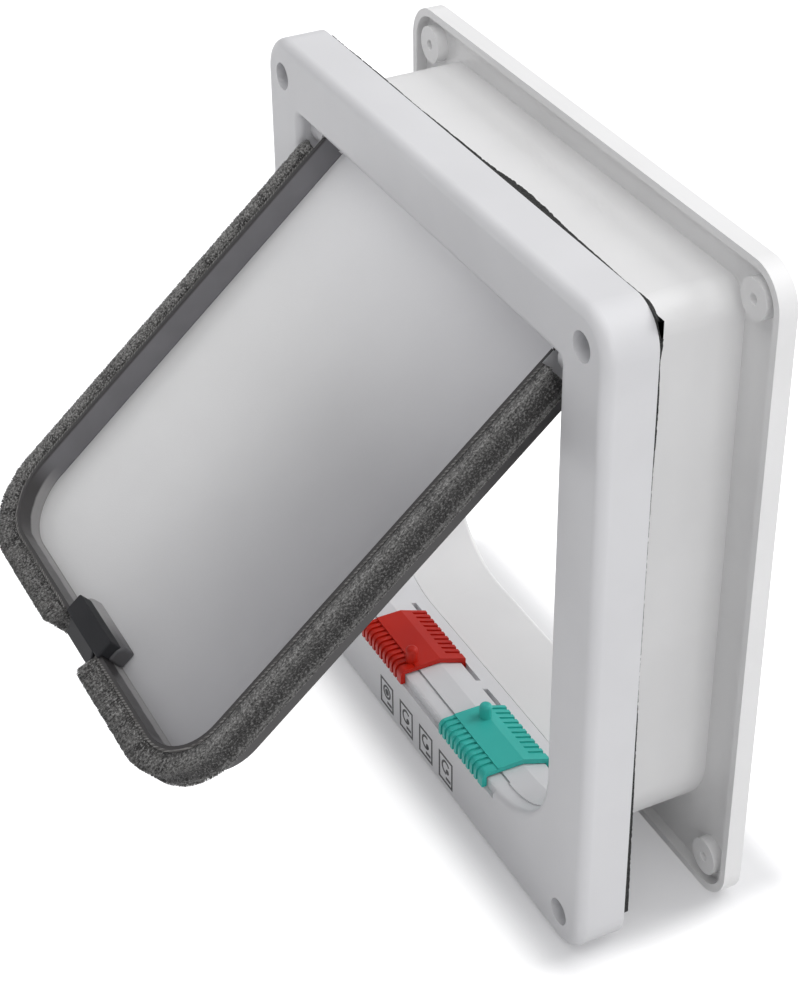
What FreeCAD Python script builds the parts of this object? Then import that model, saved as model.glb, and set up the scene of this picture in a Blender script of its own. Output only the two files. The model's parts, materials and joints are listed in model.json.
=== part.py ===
import FreeCAD, Part
import math
import os

import Sketcher

# A small cat flap in two frames with a tunnel between them, in millimetres.
# X runs to the right as seen from outside, Y runs through the door and Z runs up.
# The origin is the centre of the four screws, in the plane where the front frame meets the door.

VECTOR = FreeCAD.Vector
DOCUMENT = FreeCAD.newDocument("cat_flap")
SHEET = DOCUMENT.addObject("Spreadsheet::Sheet", "Sizes")

DRIVING_SIZES = {
    # Front frame
    "frame_width": 190.0,
    "frame_height": 203.6,
    "corner_radius": 11.35,
    "front_depth": 14.5,
    "front_plate": 3.0,
    "skirt_wall": 3.2,
    "soft_edge": 3.0,
    "opening_edge": 2.2,
    "rib_thickness": 1.4,
    "rib_pitch": 52.0,
    # Screws
    "screw_inset": 10.8,
    "screw_radius": 2.3,
    "counterbore_radius": 4.0,
    "counterbore_depth": 7.0,
    "screw_boss_radius": 8.0,
    # Passage through both frames, heights from the bottom of the frame
    "frame_side": 20.4,
    "roof_drop": 14.0,
    "lintel_depth": 5.0,
    "sill_height": 24.6,
    "rail_height": 25.0,
    "floor_height": 19.6,
    "passage_lower_corner": 29.0,
    "passage_upper_corner": 5.6,
    "lintel_corner": 1.5,
    "sill_depth": 5.5,
    "rail_depth": 13.0,
    "rail_groove": 0.5,
    # Collar of the front frame and the sleeve that slides over it
    "collar_wall": 1.3,
    "collar_reach": 13.0,
    "collar_lower_corner": 20.0,
    "sleeve_clearance": 0.15,
    "sleeve_wall": 1.05,
    "sleeve_start": 9.0,
    # Rear frame
    "door_gap": 32.85,
    "tray_depth": 3.25,
    "tray_floor": 2.15,
    "lip_wall": 2.3,
    "rear_edge": 1.6,
    "post_radius": 5.5,
    "pilot_radius": 1.5,
    # Foam seal
    "seal_thickness": 2.0,
    "seal_width": 7.0,
    "seal_inset": 1.0,
    "seal_loose_corner": 3.5,
    "seal_joint": 0.4,
    "seal_end": 12.0,
    # Hinge
    "hinge_setback": 8.8,
    "hinge_drop": 10.0,
    "hinge_boss_radius": 4.8,
    "ear_radius": 4.2,
    "ear_clearance": 1.4,
    "pin_radius": 1.2,
    "pin_clearance": 0.06,
    "pin_seat": 5.8,
    "pin_stand": 1.2,
    "open_angle": 48.6,
    # Flap, lengths from the hinge axis and heights from the pane's outer face
    "flap_side_gap": 9.95,
    "flap_foot_gap": 11.7,
    "flap_side_play": 1.0,
    "pane_thickness": 2.0,
    "pane_top": 2.0,
    "rim_top": 3.0,
    "pane_setback": 4.5,
    "pane_corner": 16.0,
    "rim_wall": 1.0,
    "rim_front": 8.0,
    "rim_back": 5.4,
    # Draught strips
    "backing_thickness": 0.7,
    "backing_front": 8.0,
    "strip_top": 7.0,
    "strip_gap": 24.0,
    "pile_reach_side": 5.0,
    "pile_reach_bottom": 6.9,
    "pile_front": 9.4,
    "peg_relief": 5.2,
    "peg_relief_end": 27.0,
    # Magnet holder on the flap
    "barrel_width": 30.0,
    "barrel_length": 6.0,
    "barrel_height": 7.0,
    "barrel_softness": 2.2,
    "clip_width": 21.0,
    "clip_thickness": 1.1,
    "tongue_reach": 4.9,
    "tongue_front": 6.0,
    "tongue_back": 3.2,
    "tongue_softness": 0.8,
    "flap_magnet_radius": 1.9,
    "flap_magnet_length": 20.0,
    "magnet_clearance": 0.1,
    # Sliders
    "slider_length": 27.1,
    "slider_cover": 1.7,
    "slider_play": 0.3,
    "slider_lip": 1.5,
    "slider_overhang": 0.6,
    "slider_skirt": 3.5,
    "slider_hook_depth": 2.1,
    "slider_hook_wall": 1.2,
    "slider_back": 21.8,
    "slider_round": 2.1,
    "slider_step": 0.3,
    "grip_near_end": 4.6,
    "grip_far_start": 16.4,
    "grip_depth": 0.55,
    "grip_groove": 1.1,
    "grip_pitch": 2.45,
    "grip_margin": 1.2,
    "peg_radius": 1.9,
    "peg_height": 4.8,
    "peg_softness": 1.3,
    "red_outer_end": 38.6,
    "red_peg_inset": 3.6,
    "red_peg_setback": 5.0,
    "red_travel_out": 7.0,
    "red_travel_in": 9.0,
    "green_outer_end": 40.6,
    "green_peg_inset": 5.2,
    "green_peg_setback": 12.4,
    "green_travel_out": 5.0,
    "green_travel_in": 11.0,
    # Magnet in the sill
    "sill_magnet_length": 20.0,
    "sill_magnet_width": 4.6,
    "sill_magnet_height": 3.6,
    "sill_magnet_cover": 1.1,
}

GRIP_GROOVES = 10
RIBS_A_SIDE = 3


class Size:
    """A length that carries both its number and its expression on the sheet."""

    def __init__(self, value, text):
        self.value = float(value)
        self.text = text

    @staticmethod
    def of(item):
        if isinstance(item, Size):
            return item
        return Size(item, repr(float(item)))

    def __add__(self, other):
        other = Size.of(other)
        return Size(self.value + other.value, f"({self.text} + {other.text})")

    def __radd__(self, other):
        return Size.of(other) + self

    def __sub__(self, other):
        other = Size.of(other)
        return Size(self.value - other.value, f"({self.text} - {other.text})")

    def __rsub__(self, other):
        return Size.of(other) - self

    def __mul__(self, other):
        other = Size.of(other)
        return Size(self.value * other.value, f"({self.text} * {other.text})")

    def __rmul__(self, other):
        return Size.of(other) * self

    def __truediv__(self, other):
        other = Size.of(other)
        return Size(self.value / other.value, f"({self.text} / {other.text})")

    def __neg__(self):
        return Size(-self.value, f"(-1 * {self.text})")


class Sizes:
    """The driving sizes by name, each one bound to its cell."""

    def __init__(self, values):
        for row, (name, value) in enumerate(values.items(), start=1):
            SHEET.set(f"A{row}", name)
            SHEET.set(f"B{row}", str(value))
            SHEET.setAlias(f"B{row}", name)
            setattr(self, name, Size(value, f"Sizes.{name}"))
        DOCUMENT.recompute()


S = Sizes(DRIVING_SIZES)

# Places that several pieces share
HALF_WIDTH = S.frame_width / 2
TOP = S.frame_height / 2
BOTTOM = -TOP
PASSAGE_SIDE = HALF_WIDTH - S.frame_side
ROOF = TOP - S.roof_drop
LINTEL = ROOF - S.lintel_depth
SILL = BOTTOM + S.sill_height
RAIL = BOTTOM + S.rail_height
FLOOR = BOTTOM + S.floor_height
HINGE_Y = S.hinge_setback - S.front_depth
HINGE_Z = ROOF - S.hinge_drop
SCREW_X = HALF_WIDTH - S.screw_inset
SCREW_Z = TOP - S.screw_inset
PANE_SIDE = PASSAGE_SIDE - S.flap_side_gap
PANE_FOOT = HINGE_Z - RAIL - S.flap_foot_gap
RIM_SIDE = PANE_SIDE + S.rim_wall
RIM_BOTTOM = PANE_FOOT + S.rim_wall
BACKING_SIDE = RIM_SIDE + S.backing_thickness
BACKING_BOTTOM = RIM_BOTTOM + S.backing_thickness


def new_body(label):
    """Start one moulded or cut piece."""
    body = DOCUMENT.addObject("PartDesign::Body", label)
    body.Label = label
    return body


def new_sketch(body, name, plane, offset):
    """Start a sketch parallel to one of the body's own planes."""
    sketch = body.newObject("Sketcher::SketchObject", name)
    support = next(item for item in body.Origin.OriginFeatures if item.Role == plane)
    sketch.AttachmentSupport = [(support, "")]
    sketch.MapMode = "FlatFace"
    sketch.setExpression("AttachmentOffset.Base.z", Size.of(offset).text)
    return sketch


def front_sketch(body, name, behind_face):
    """Start a sketch seen from outside, a distance behind the front frame's face."""
    return new_sketch(body, name, "XZ_Plane", S.front_depth - behind_face)


def bind(sketch, kind, *items, size):
    """Add one sketch constraint whose value follows an expression."""
    index = sketch.addConstraint(Sketcher.Constraint(kind, *items, size.value))
    sketch.setExpression(f"Constraints[{index}]", size.text)


def bind_place(sketch, kind, line, point, size):
    """Hold a point at a distance from the sketch's origin, on either side of it."""
    if size.value >= 0:
        bind(sketch, kind, -1, 1, line, point, size=size)
    else:
        bind(sketch, kind, line, point, -1, 1, size=-size)


def add_outline(sketch, corners, radii=None):
    """Draw a closed outline with some corners rounded.

    corners holds (across, up) pairs of sizes, counted round the outline, and radii one size or
    None for each corner. Both ends of a sloped line are plain corners.
    """
    count = len(corners)
    points = [VECTOR(across.value, up.value, 0) for across, up in corners]
    radii = radii or [None] * count
    ways = []
    for index in range(count):
        step = points[(index + 1) % count] - points[index]
        ways.append(step.normalize())
    starts = []
    ends = []
    for index in range(count):
        radius = radii[index].value if radii[index] else 0.0
        starts.append(points[index] + ways[index] * radius)
        ends.append(points[index] - ways[index - 1] * radius)
    lines = []
    for index in range(count):
        segment = Part.LineSegment(starts[index], ends[(index + 1) % count])
        line = sketch.addGeometry(segment, False)
        lines.append(line)
        if is_sloped(ways[index]):
            continue
        upright = abs(ways[index].x) < 0.5
        sketch.addConstraint(Sketcher.Constraint("Vertical" if upright else "Horizontal", line))
        kind = "DistanceX" if upright else "DistanceY"
        bind_place(sketch, kind, line, 1, corners[index][0 if upright else 1])
    for index in range(count):
        before = lines[index - 1]
        after = lines[index]
        if not radii[index]:
            sketch.addConstraint(Sketcher.Constraint("Coincident", before, 2, after, 1))
            bind_slope_end(sketch, after, corners[index], ways[index - 1], ways[index])
            continue
        add_corner(sketch, before, after, ends[index], starts[index], ways[index - 1], ways[index],
                   radii[index])


def is_sloped(way):
    """Tell whether a line is neither upright nor level."""
    return abs(way.x) > 1e-6 and abs(way.y) > 1e-6


def bind_slope_end(sketch, line, corner, way_in, way_out):
    """Hold a corner of a sloped line in the directions that no other line gives it."""
    if not is_sloped(way_in) and not is_sloped(way_out):
        return
    level = [way for way in (way_in, way_out) if not is_sloped(way)]
    if not any(abs(way.x) < 0.5 for way in level):
        bind_place(sketch, "DistanceX", line, 1, corner[0])
    if not any(abs(way.y) < 0.5 for way in level):
        bind_place(sketch, "DistanceY", line, 1, corner[1])


def add_corner(sketch, before, after, start, end, way_in, way_out, radius):
    """Join two lines of an outline by a tangent arc."""
    centre = start + way_out * radius.value
    left_turn = way_in.cross(way_out).z > 0
    first, last = (start, end) if left_turn else (end, start)
    first_angle = math.atan2(first.y - centre.y, first.x - centre.x)
    last_angle = math.atan2(last.y - centre.y, last.x - centre.x)
    if last_angle < first_angle:
        last_angle += 2 * math.pi
    circle = Part.Circle(centre, VECTOR(0, 0, 1), radius.value)
    arc = sketch.addGeometry(Part.ArcOfCircle(circle, first_angle, last_angle), False)
    entry, leave = (1, 2) if left_turn else (2, 1)
    sketch.addConstraint(Sketcher.Constraint("Tangent", before, 2, arc, entry))
    sketch.addConstraint(Sketcher.Constraint("Tangent", arc, leave, after, 1))
    bind(sketch, "Radius", arc, size=radius)


def add_box(sketch, left, right, low, high, radii=None):
    """Draw a rectangle, its radii counted from the lower left corner round to the right."""
    add_outline(sketch, [(left, low), (right, low), (right, high), (left, high)], radii)


def add_circle(sketch, across, up, radius):
    """Draw a circle at a place in the sketch."""
    centre = VECTOR(across.value, up.value, 0)
    circle = sketch.addGeometry(Part.Circle(centre, VECTOR(0, 0, 1), radius.value), False)
    bind(sketch, "Radius", circle, size=radius)
    for kind, place in (("DistanceX", across), ("DistanceY", up)):
        bind_place(sketch, kind, circle, 3, place)


def extrude(body, kind, sketch, length, name, turned=False):
    """Pad or pocket a sketch by a bound length."""
    feature = body.newObject(f"PartDesign::{kind}", name)
    feature.Profile = sketch
    feature.setExpression("Length", length.text)
    feature.Reversed = turned
    sketch.Visibility = False
    DOCUMENT.recompute()
    return feature


def add_pad(body, sketch, length, name, turned=False):
    """Add material: outwards from a front sketch, or the other way when turned."""
    return extrude(body, "Pad", sketch, length, name, turned)


def add_pocket(body, sketch, length, name, turned=False):
    """Cut material: inwards from a front sketch, or the other way when turned."""
    before = body.Shape.Volume
    feature = extrude(body, "Pocket", sketch, length, name, turned)
    if feature.Shape.Volume > before - 1e-3:
        raise RuntimeError(f"{name} cuts nothing from {body.Label}")
    return feature


def edges_where(feature, test):
    """Name the edges of a feature whose bounds pass a test."""
    return [f"Edge{number}" for number, edge in enumerate(feature.Shape.Edges, start=1)
            if test(edge.BoundBox)]


def add_fillet(body, name, radius, test):
    """Round every edge of the body's last feature that passes a test."""
    base = body.Tip
    fillet = body.newObject("PartDesign::Fillet", name)
    fillet.Base = (base, edges_where(base, test))
    fillet.setExpression("Radius", radius.text)
    DOCUMENT.recompute()
    return fillet


def flat_at(value, low, high):
    """Tell whether a span lies in one plane at a value."""
    return abs(low - value) < 1e-4 and abs(high - value) < 1e-4


def place_on_flap(body):
    """Carry a piece that is drawn on the hanging flap round to the open position."""
    body.Placement = FreeCAD.Placement(VECTOR(0, 0, 0), FreeCAD.Rotation(VECTOR(1, 0, 0), -1))
    body.setExpression("Placement.Base.x", (-S.flap_side_play).text)
    body.setExpression("Placement.Base.y", HINGE_Y.text)
    body.setExpression("Placement.Base.z", HINGE_Z.text)
    body.setExpression("Placement.Rotation.Angle", (-S.open_angle).text)


def passage_outline(sketch, low, high, upper_radius):
    """Draw the passage with its large lower corners."""
    lower = S.passage_lower_corner
    add_box(sketch, -PASSAGE_SIDE, PASSAGE_SIDE, low, high, [lower, lower, upper_radius, upper_radius])


def tube_outline(sketch, growth):
    """Draw the outside of the collar, or of a sleeve that is larger by growth."""
    side = PASSAGE_SIDE + S.collar_wall + growth
    low = FLOOR - S.collar_wall - growth
    high = ROOF + S.collar_wall + growth
    lower = S.collar_lower_corner + growth
    upper = S.passage_upper_corner + S.collar_wall + growth
    add_box(sketch, -side, side, low, high, [lower, lower, upper, upper])


def frame_outline(sketch, inset):
    """Draw the outline that both frames share, moved in by inset."""
    side = HALF_WIDTH - inset
    high = TOP - inset
    add_box(sketch, -side, side, -high, high, [S.corner_radius - inset] * 4)


def screw_circles(sketch, radius):
    """Draw a circle at each of the four screws."""
    for across in (-SCREW_X, SCREW_X):
        for up in (-SCREW_Z, SCREW_Z):
            add_circle(sketch, across, up, radius)


def ramp_drop(place):
    """Give how far the ramp behind the rail has fallen at a distance behind the front face."""
    fall = (RAIL - FLOOR).value / (S.front_depth + S.collar_reach - S.rail_depth).value
    return (place - S.rail_depth) * fall


def slider_spans():
    """Give the stretch of rail that each slider needs, as (left, right) sizes."""
    red_left = -(S.red_outer_end + S.red_travel_out + S.slider_play)
    red_right = -(S.red_outer_end - S.slider_length - S.red_travel_in - S.slider_play)
    green_left = S.green_outer_end - S.slider_length - S.green_travel_in - S.slider_play
    green_right = S.green_outer_end + S.green_travel_out + S.slider_play
    return [(red_left, red_right), (green_left, green_right)]


# Front frame

def make_front_frame():
    """Make the hollow front moulding with its collar, sill, hinge bosses and screw bosses."""
    body = new_body("front_frame")
    face = S.front_depth

    sketch = front_sketch(body, "front_outline", face)
    frame_outline(sketch, Size.of(0))
    add_pad(body, sketch, S.front_depth, "front_block")
    add_fillet(body, "soft_front_edge", S.soft_edge,
               lambda box: flat_at(-S.front_depth.value, box.YMin, box.YMax))

    sketch = front_sketch(body, "hollow_outline", face)
    frame_outline(sketch, S.skirt_wall)
    add_pocket(body, sketch, S.front_depth - S.front_plate, "hollow_back", turned=True)

    sketch = front_sketch(body, "collar_outline", face + S.collar_reach)
    tube_outline(sketch, Size.of(0))
    add_pad(body, sketch, S.collar_reach + S.front_depth - S.front_plate / 2, "collar")

    add_stiffening(body)

    sketch = front_sketch(body, "rail_end", S.rail_depth)
    passage_outline(sketch, RAIL, ROOF, S.passage_upper_corner)
    sketch_back = front_sketch(body, "ramp_end", face + S.collar_reach)
    passage_outline(sketch_back, FLOOR, ROOF, S.passage_upper_corner)
    ramp = body.newObject("PartDesign::SubtractiveLoft", "ramp")
    ramp.Profile = sketch
    ramp.Sections = [sketch_back]
    ramp.Ruled = True
    DOCUMENT.recompute()

    sketch = front_sketch(body, "rail_outline", S.rail_depth)
    passage_outline(sketch, RAIL, ROOF, S.passage_upper_corner)
    add_pocket(body, sketch, S.rail_depth - S.front_plate, "rail_passage", turned=True)

    sketch = front_sketch(body, "opening_outline", Size.of(0))
    passage_outline(sketch, SILL, LINTEL, S.lintel_corner)
    add_pocket(body, sketch, S.sill_depth, "opening")
    limit = PASSAGE_SIDE.value + 0.1
    add_fillet(body, "opening_round", S.opening_edge,
               lambda box: flat_at(-S.front_depth.value, box.YMin, box.YMax)
               and box.XMax < limit and box.XMin > -limit)

    add_hinge_bosses(body)
    add_slider_ways(body)

    sketch = new_sketch(body, "magnet_pocket_outline", "XY_Plane", FLOOR - S.collar_wall)
    magnet_outline(sketch, S.magnet_clearance)
    add_pocket(body, sketch, S.sill_magnet_height + S.sill_magnet_cover + S.magnet_clearance,
               "magnet_pocket", turned=True)

    sketch = front_sketch(body, "counterbores_outline", Size.of(0))
    screw_circles(sketch, S.counterbore_radius)
    add_pocket(body, sketch, S.counterbore_depth, "counterbores")
    sketch = front_sketch(body, "screw_holes_outline", Size.of(0))
    screw_circles(sketch, S.screw_radius)
    add_pocket(body, sketch, S.front_depth, "screw_holes")
    return body


def add_stiffening(body):
    """Stand screw bosses and cross ribs in the hollow back, from the plate to the door face."""
    sketch = front_sketch(body, "screw_bosses_outline", S.front_depth)
    screw_circles(sketch, S.screw_boss_radius)
    add_pad(body, sketch, S.front_depth - S.front_plate / 2, "screw_bosses")

    sketch = front_sketch(body, "ribs_outline", S.front_depth)
    half = S.rib_thickness / 2
    side = PASSAGE_SIDE + S.collar_wall / 2
    outer = HALF_WIDTH - S.skirt_wall / 2
    high = TOP - S.skirt_wall / 2
    roof = ROOF + S.collar_wall / 2
    floor = FLOOR - S.collar_wall / 2
    for number in range(RIBS_A_SIDE):
        place = S.rib_pitch * (number - (RIBS_A_SIDE - 1) / 2)
        add_box(sketch, place - half, place + half, roof, high)
        add_box(sketch, place - half, place + half, -high, floor)
        add_box(sketch, side, outer, place - half, place + half)
        add_box(sketch, -outer, -side, place - half, place + half)
    add_pad(body, sketch, S.front_depth - S.front_plate / 2, "ribs")


def add_hinge_bosses(body):
    """Stand a boss for the hinge pin on each side wall of the passage."""
    start = RIM_SIDE + S.ear_clearance
    length = PASSAGE_SIDE - start + S.collar_wall / 2
    for side, name in ((-1, "left"), (1, "right")):
        sketch = new_sketch(body, f"boss_{name}_outline", "YZ_Plane", start * side)
        add_circle(sketch, HINGE_Y, HINGE_Z, S.hinge_boss_radius)
        add_pad(body, sketch, length, f"boss_{name}", turned=side < 0)
        sketch = new_sketch(body, f"boss_{name}_hole_outline", "YZ_Plane", start * side)
        add_circle(sketch, HINGE_Y, HINGE_Z, S.pin_radius + S.pin_clearance)
        add_pocket(body, sketch, S.pin_seat, f"boss_{name}_hole", turned=side > 0)


def add_slider_ways(body):
    """Cut the ways for the sliders: a step in the front edge and a slot behind the rail."""
    sketch = front_sketch(body, "front_way_outline", Size.of(0))
    (left, _), (_, right) = slider_spans()
    add_box(sketch, left, right, RAIL - S.slider_skirt, RAIL + S.slider_cover)
    add_pocket(body, sketch, S.slider_lip - S.slider_overhang + S.slider_play, "front_way")

    sketch = new_sketch(body, "rear_way_outline", "XY_Plane", RAIL + S.slider_play)
    hook_front = S.slider_back - S.slider_hook_wall - S.front_depth
    hook_back = S.slider_back - S.front_depth
    for left, right in slider_spans():
        add_box(sketch, left, right, hook_front - S.slider_play, hook_back + S.slider_play)
    add_pocket(body, sketch, ramp_drop(S.slider_back) + S.slider_hook_depth + 2 * S.slider_play,
               "rear_way")

    sketch = new_sketch(body, "rail_groove_outline", "YZ_Plane", -(PASSAGE_SIDE - S.passage_lower_corner))
    groove = S.sill_depth - S.front_depth
    add_box(sketch, groove, groove + S.rail_groove, SILL - S.rail_groove, RAIL + S.slider_play)
    add_pocket(body, sketch, 2 * (PASSAGE_SIDE - S.passage_lower_corner), "rail_groove", turned=True)


def magnet_outline(sketch, clearance):
    """Draw the sill magnet from above, under the closed flap's tongue."""
    half = S.sill_magnet_length / 2 + clearance
    front = HINGE_Y - S.sill_magnet_width / 2 - clearance
    back = HINGE_Y + S.sill_magnet_width / 2 + clearance
    add_box(sketch, -half, half, front, back)


# Rear frame

def make_rear_frame():
    """Make the rear flange, a shallow tray with corner posts, and its sleeve."""
    body = new_body("rear_frame")
    rear_depth = S.tray_depth + S.tray_floor
    back = S.front_depth + S.door_gap + rear_depth

    sketch = front_sketch(body, "rear_outline", back)
    frame_outline(sketch, Size.of(0))
    add_pad(body, sketch, rear_depth, "rear_block")

    sketch = front_sketch(body, "tray_outline", back - rear_depth)
    frame_outline(sketch, S.lip_wall)
    add_pocket(body, sketch, S.tray_depth, "tray")

    sketch = front_sketch(body, "posts_outline", back - S.tray_floor / 2)
    screw_circles(sketch, S.post_radius)
    add_pad(body, sketch, S.tray_depth + S.tray_floor / 2, "posts")

    sketch = front_sketch(body, "sleeve_outline", back - S.tray_floor / 2)
    tube_outline(sketch, S.sleeve_clearance + S.sleeve_wall)
    sleeve = rear_depth - S.tray_floor / 2 + S.door_gap - S.sleeve_start
    add_pad(body, sketch, sleeve, "sleeve")

    sketch = front_sketch(body, "rear_passage_outline", back)
    passage_outline(sketch, FLOOR, ROOF, S.passage_upper_corner)
    add_pocket(body, sketch, rear_depth + S.door_gap, "rear_passage", turned=True)

    sketch = front_sketch(body, "rebate_outline", S.front_depth + S.sleeve_start)
    tube_outline(sketch, S.sleeve_clearance)
    rebate = S.collar_reach - S.sleeve_start + S.sleeve_clearance
    add_pocket(body, sketch, rebate, "rebate")

    plane = (S.door_gap + rear_depth).value
    limit = PASSAGE_SIDE.value + 0.1
    add_fillet(body, "rear_edge_round", S.rear_edge,
               lambda box: flat_at(plane, box.YMin, box.YMax)
               and box.XMax < limit and box.XMin > -limit)

    sketch = front_sketch(body, "pilots_outline", back)
    screw_circles(sketch, S.pilot_radius)
    add_pocket(body, sketch, rear_depth, "pilots", turned=True)
    return body


# Foam seal between the front frame and the door

def make_seal(label, left, right, low, high, radii):
    """Make one foam strip on the door side of the front frame."""
    body = new_body(label)
    sketch = front_sketch(body, f"{label}_outline", S.front_depth)
    add_box(sketch, left, right, low, high, radii)
    add_pad(body, sketch, S.seal_thickness, f"{label}_strip", turned=True)
    return body


def make_seals():
    """Make the four strips: the top one reaches round one corner, and the others stop short."""
    side = HALF_WIDTH - S.seal_inset
    high = TOP - S.seal_inset
    inner_side = side - S.seal_width
    inner_high = high - S.seal_width
    short_side = HALF_WIDTH - S.seal_end
    short_high = TOP - S.seal_end
    corner = S.seal_loose_corner
    make_seal("gasket_top", -short_side, side, inner_high, high, [None, None, corner, None])
    make_seal("gasket_bottom", -short_side, short_side, -high, -inner_high, None)
    make_seal("gasket_left", -side, -inner_side, -short_high, short_high, None)
    make_seal("gasket_right", inner_side, side, -short_high, inner_high - S.seal_joint, None)


# Hinge pins and the magnet in the sill

def make_hinge_pin(label, side):
    """Make a plain steel pin that is pressed into a boss and carries one ear of the flap."""
    body = new_body(label)
    start = PANE_SIDE - S.pin_stand - S.flap_side_play
    seat = RIM_SIDE + S.ear_clearance + S.pin_seat - S.pin_clearance
    sketch = new_sketch(body, f"{label}_outline", "YZ_Plane", start * side)
    add_circle(sketch, HINGE_Y, HINGE_Z, S.pin_radius)
    add_pad(body, sketch, seat - start, f"{label}_rod", turned=side < 0)
    return body


def make_sill_magnet():
    """Make the bar magnet in the sill and the cover that closes its pocket from below."""
    body = new_body("sill_magnet")
    low = FLOOR - S.collar_wall + S.sill_magnet_cover
    sketch = new_sketch(body, "sill_magnet_outline", "XY_Plane", low)
    magnet_outline(sketch, Size.of(0))
    add_pad(body, sketch, S.sill_magnet_height, "sill_magnet_bar")

    body = new_body("sill_magnet_cover")
    sketch = new_sketch(body, "sill_magnet_cover_outline", "XY_Plane", FLOOR - S.collar_wall)
    magnet_outline(sketch, S.magnet_clearance / 2)
    add_pad(body, sketch, S.sill_magnet_cover, "sill_magnet_cover_plate")


# Flap, drawn hanging from an axis through its origin, with the outside towards -Y

def flap_sketch(body, name, above_pane):
    """Start a sketch parallel to the pane, a height above its outer face."""
    return new_sketch(body, name, "XZ_Plane", above_pane - S.pane_setback)


def make_flap_panel():
    """Make the clear moulding: pane, rim all round three sides and an ear at each pin."""
    body = new_body("flap_panel")
    rim_height = S.rim_front + S.pane_thickness + S.rim_back
    rim_corner = S.pane_corner + S.rim_wall
    pane_side = PANE_SIDE

    sketch = flap_sketch(body, "rim_outline", S.rim_front - rim_height)
    add_box(sketch, -RIM_SIDE, RIM_SIDE, -RIM_BOTTOM, -S.rim_top, [rim_corner, rim_corner, None, None])
    add_pad(body, sketch, rim_height, "rim")

    above = S.rim_top / 2
    for name, height, depth, turned in (
            ("front_hollow", S.rim_front, S.rim_front, False),
            ("back_hollow", -(S.pane_thickness + S.rim_back), S.rim_back, True)):
        sketch = flap_sketch(body, f"{name}_outline", height)
        add_box(sketch, -pane_side, pane_side, -PANE_FOOT, -above,
                [S.pane_corner, S.pane_corner, None, None])
        add_pocket(body, sketch, depth, name, turned=turned)

    sketch = flap_sketch(body, "pane_top_outline", -S.pane_thickness)
    add_box(sketch, -pane_side, pane_side, -2 * S.rim_top, S.pane_top)
    add_pad(body, sketch, S.pane_thickness, "top_of_pane")

    for side, name in ((-1, "left"), (1, "right")):
        sketch = new_sketch(body, f"ear_{name}_outline", "YZ_Plane", pane_side * side)
        add_circle(sketch, Size.of(0), Size.of(0), S.ear_radius)
        add_pad(body, sketch, S.rim_wall, f"ear_{name}", turned=side < 0)
        sketch = new_sketch(body, f"pin_hole_{name}_outline", "YZ_Plane", pane_side * side)
        add_circle(sketch, Size.of(0), Size.of(0), S.pin_radius + S.pin_clearance)
        add_pocket(body, sketch, S.rim_wall, f"pin_hole_{name}", turned=side > 0)
    place_on_flap(body)
    return body


def strip_outline(sketch, side, inner, outer, ends):
    """Draw one half of a strip that runs down the rim's side, round its corner and along its foot.

    inner and outer hold (across, down, corner radius), and ends (top of the strip, half gap).
    """
    top, gap = ends
    inner_side, inner_low, inner_corner = inner
    outer_side, outer_low, outer_corner = outer
    corners = [
        (outer_side * side, -top),
        (outer_side * side, -outer_low),
        (gap * side, -outer_low),
        (gap * side, -inner_low),
        (inner_side * side, -inner_low),
        (inner_side * side, -top),
    ]
    add_outline(sketch, corners, [None, outer_corner, None, None, inner_corner, None])


def make_backing(label, side):
    """Make one woven backing, bonded to the outside of the rim."""
    body = new_body(label)
    corner = S.pane_corner + S.rim_wall
    sketch = flap_sketch(body, f"{label}_outline", Size.of(0))
    strip_outline(sketch, side, (RIM_SIDE, RIM_BOTTOM, corner),
                  (BACKING_SIDE, BACKING_BOTTOM, corner + S.backing_thickness),
                  (S.strip_top, S.strip_gap / 2))
    add_pad(body, sketch, S.backing_front, f"{label}_tape")
    place_on_flap(body)
    return body


def make_pile(label, side):
    """Make one pile as a soft solid, lower where it passes over the sliders' pegs."""
    body = new_body(label)
    corner = S.pane_corner + S.rim_wall + S.backing_thickness
    sketch = flap_sketch(body, f"{label}_outline", Size.of(0))
    strip_outline(sketch, side, (BACKING_SIDE, BACKING_BOTTOM, corner),
                  (BACKING_SIDE + S.pile_reach_side, BACKING_BOTTOM + S.pile_reach_bottom,
                   corner + S.pile_reach_side),
                  (S.strip_top, S.strip_gap / 2))
    add_pad(body, sketch, S.pile_front, f"{label}_band")

    sketch = flap_sketch(body, f"{label}_relief_outline", S.pile_front)
    low = -(BACKING_BOTTOM + S.pile_reach_bottom)
    ends = sorted((S.strip_gap / 4 * side, S.peg_relief_end * side), key=size_value)
    add_box(sketch, *ends, low - S.peg_relief, low + S.peg_relief)
    add_pocket(body, sketch, S.pile_front, f"{label}_relief")
    place_on_flap(body)
    return body


def size_value(size):
    """Give a size's number, to sort by."""
    return size.value


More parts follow.
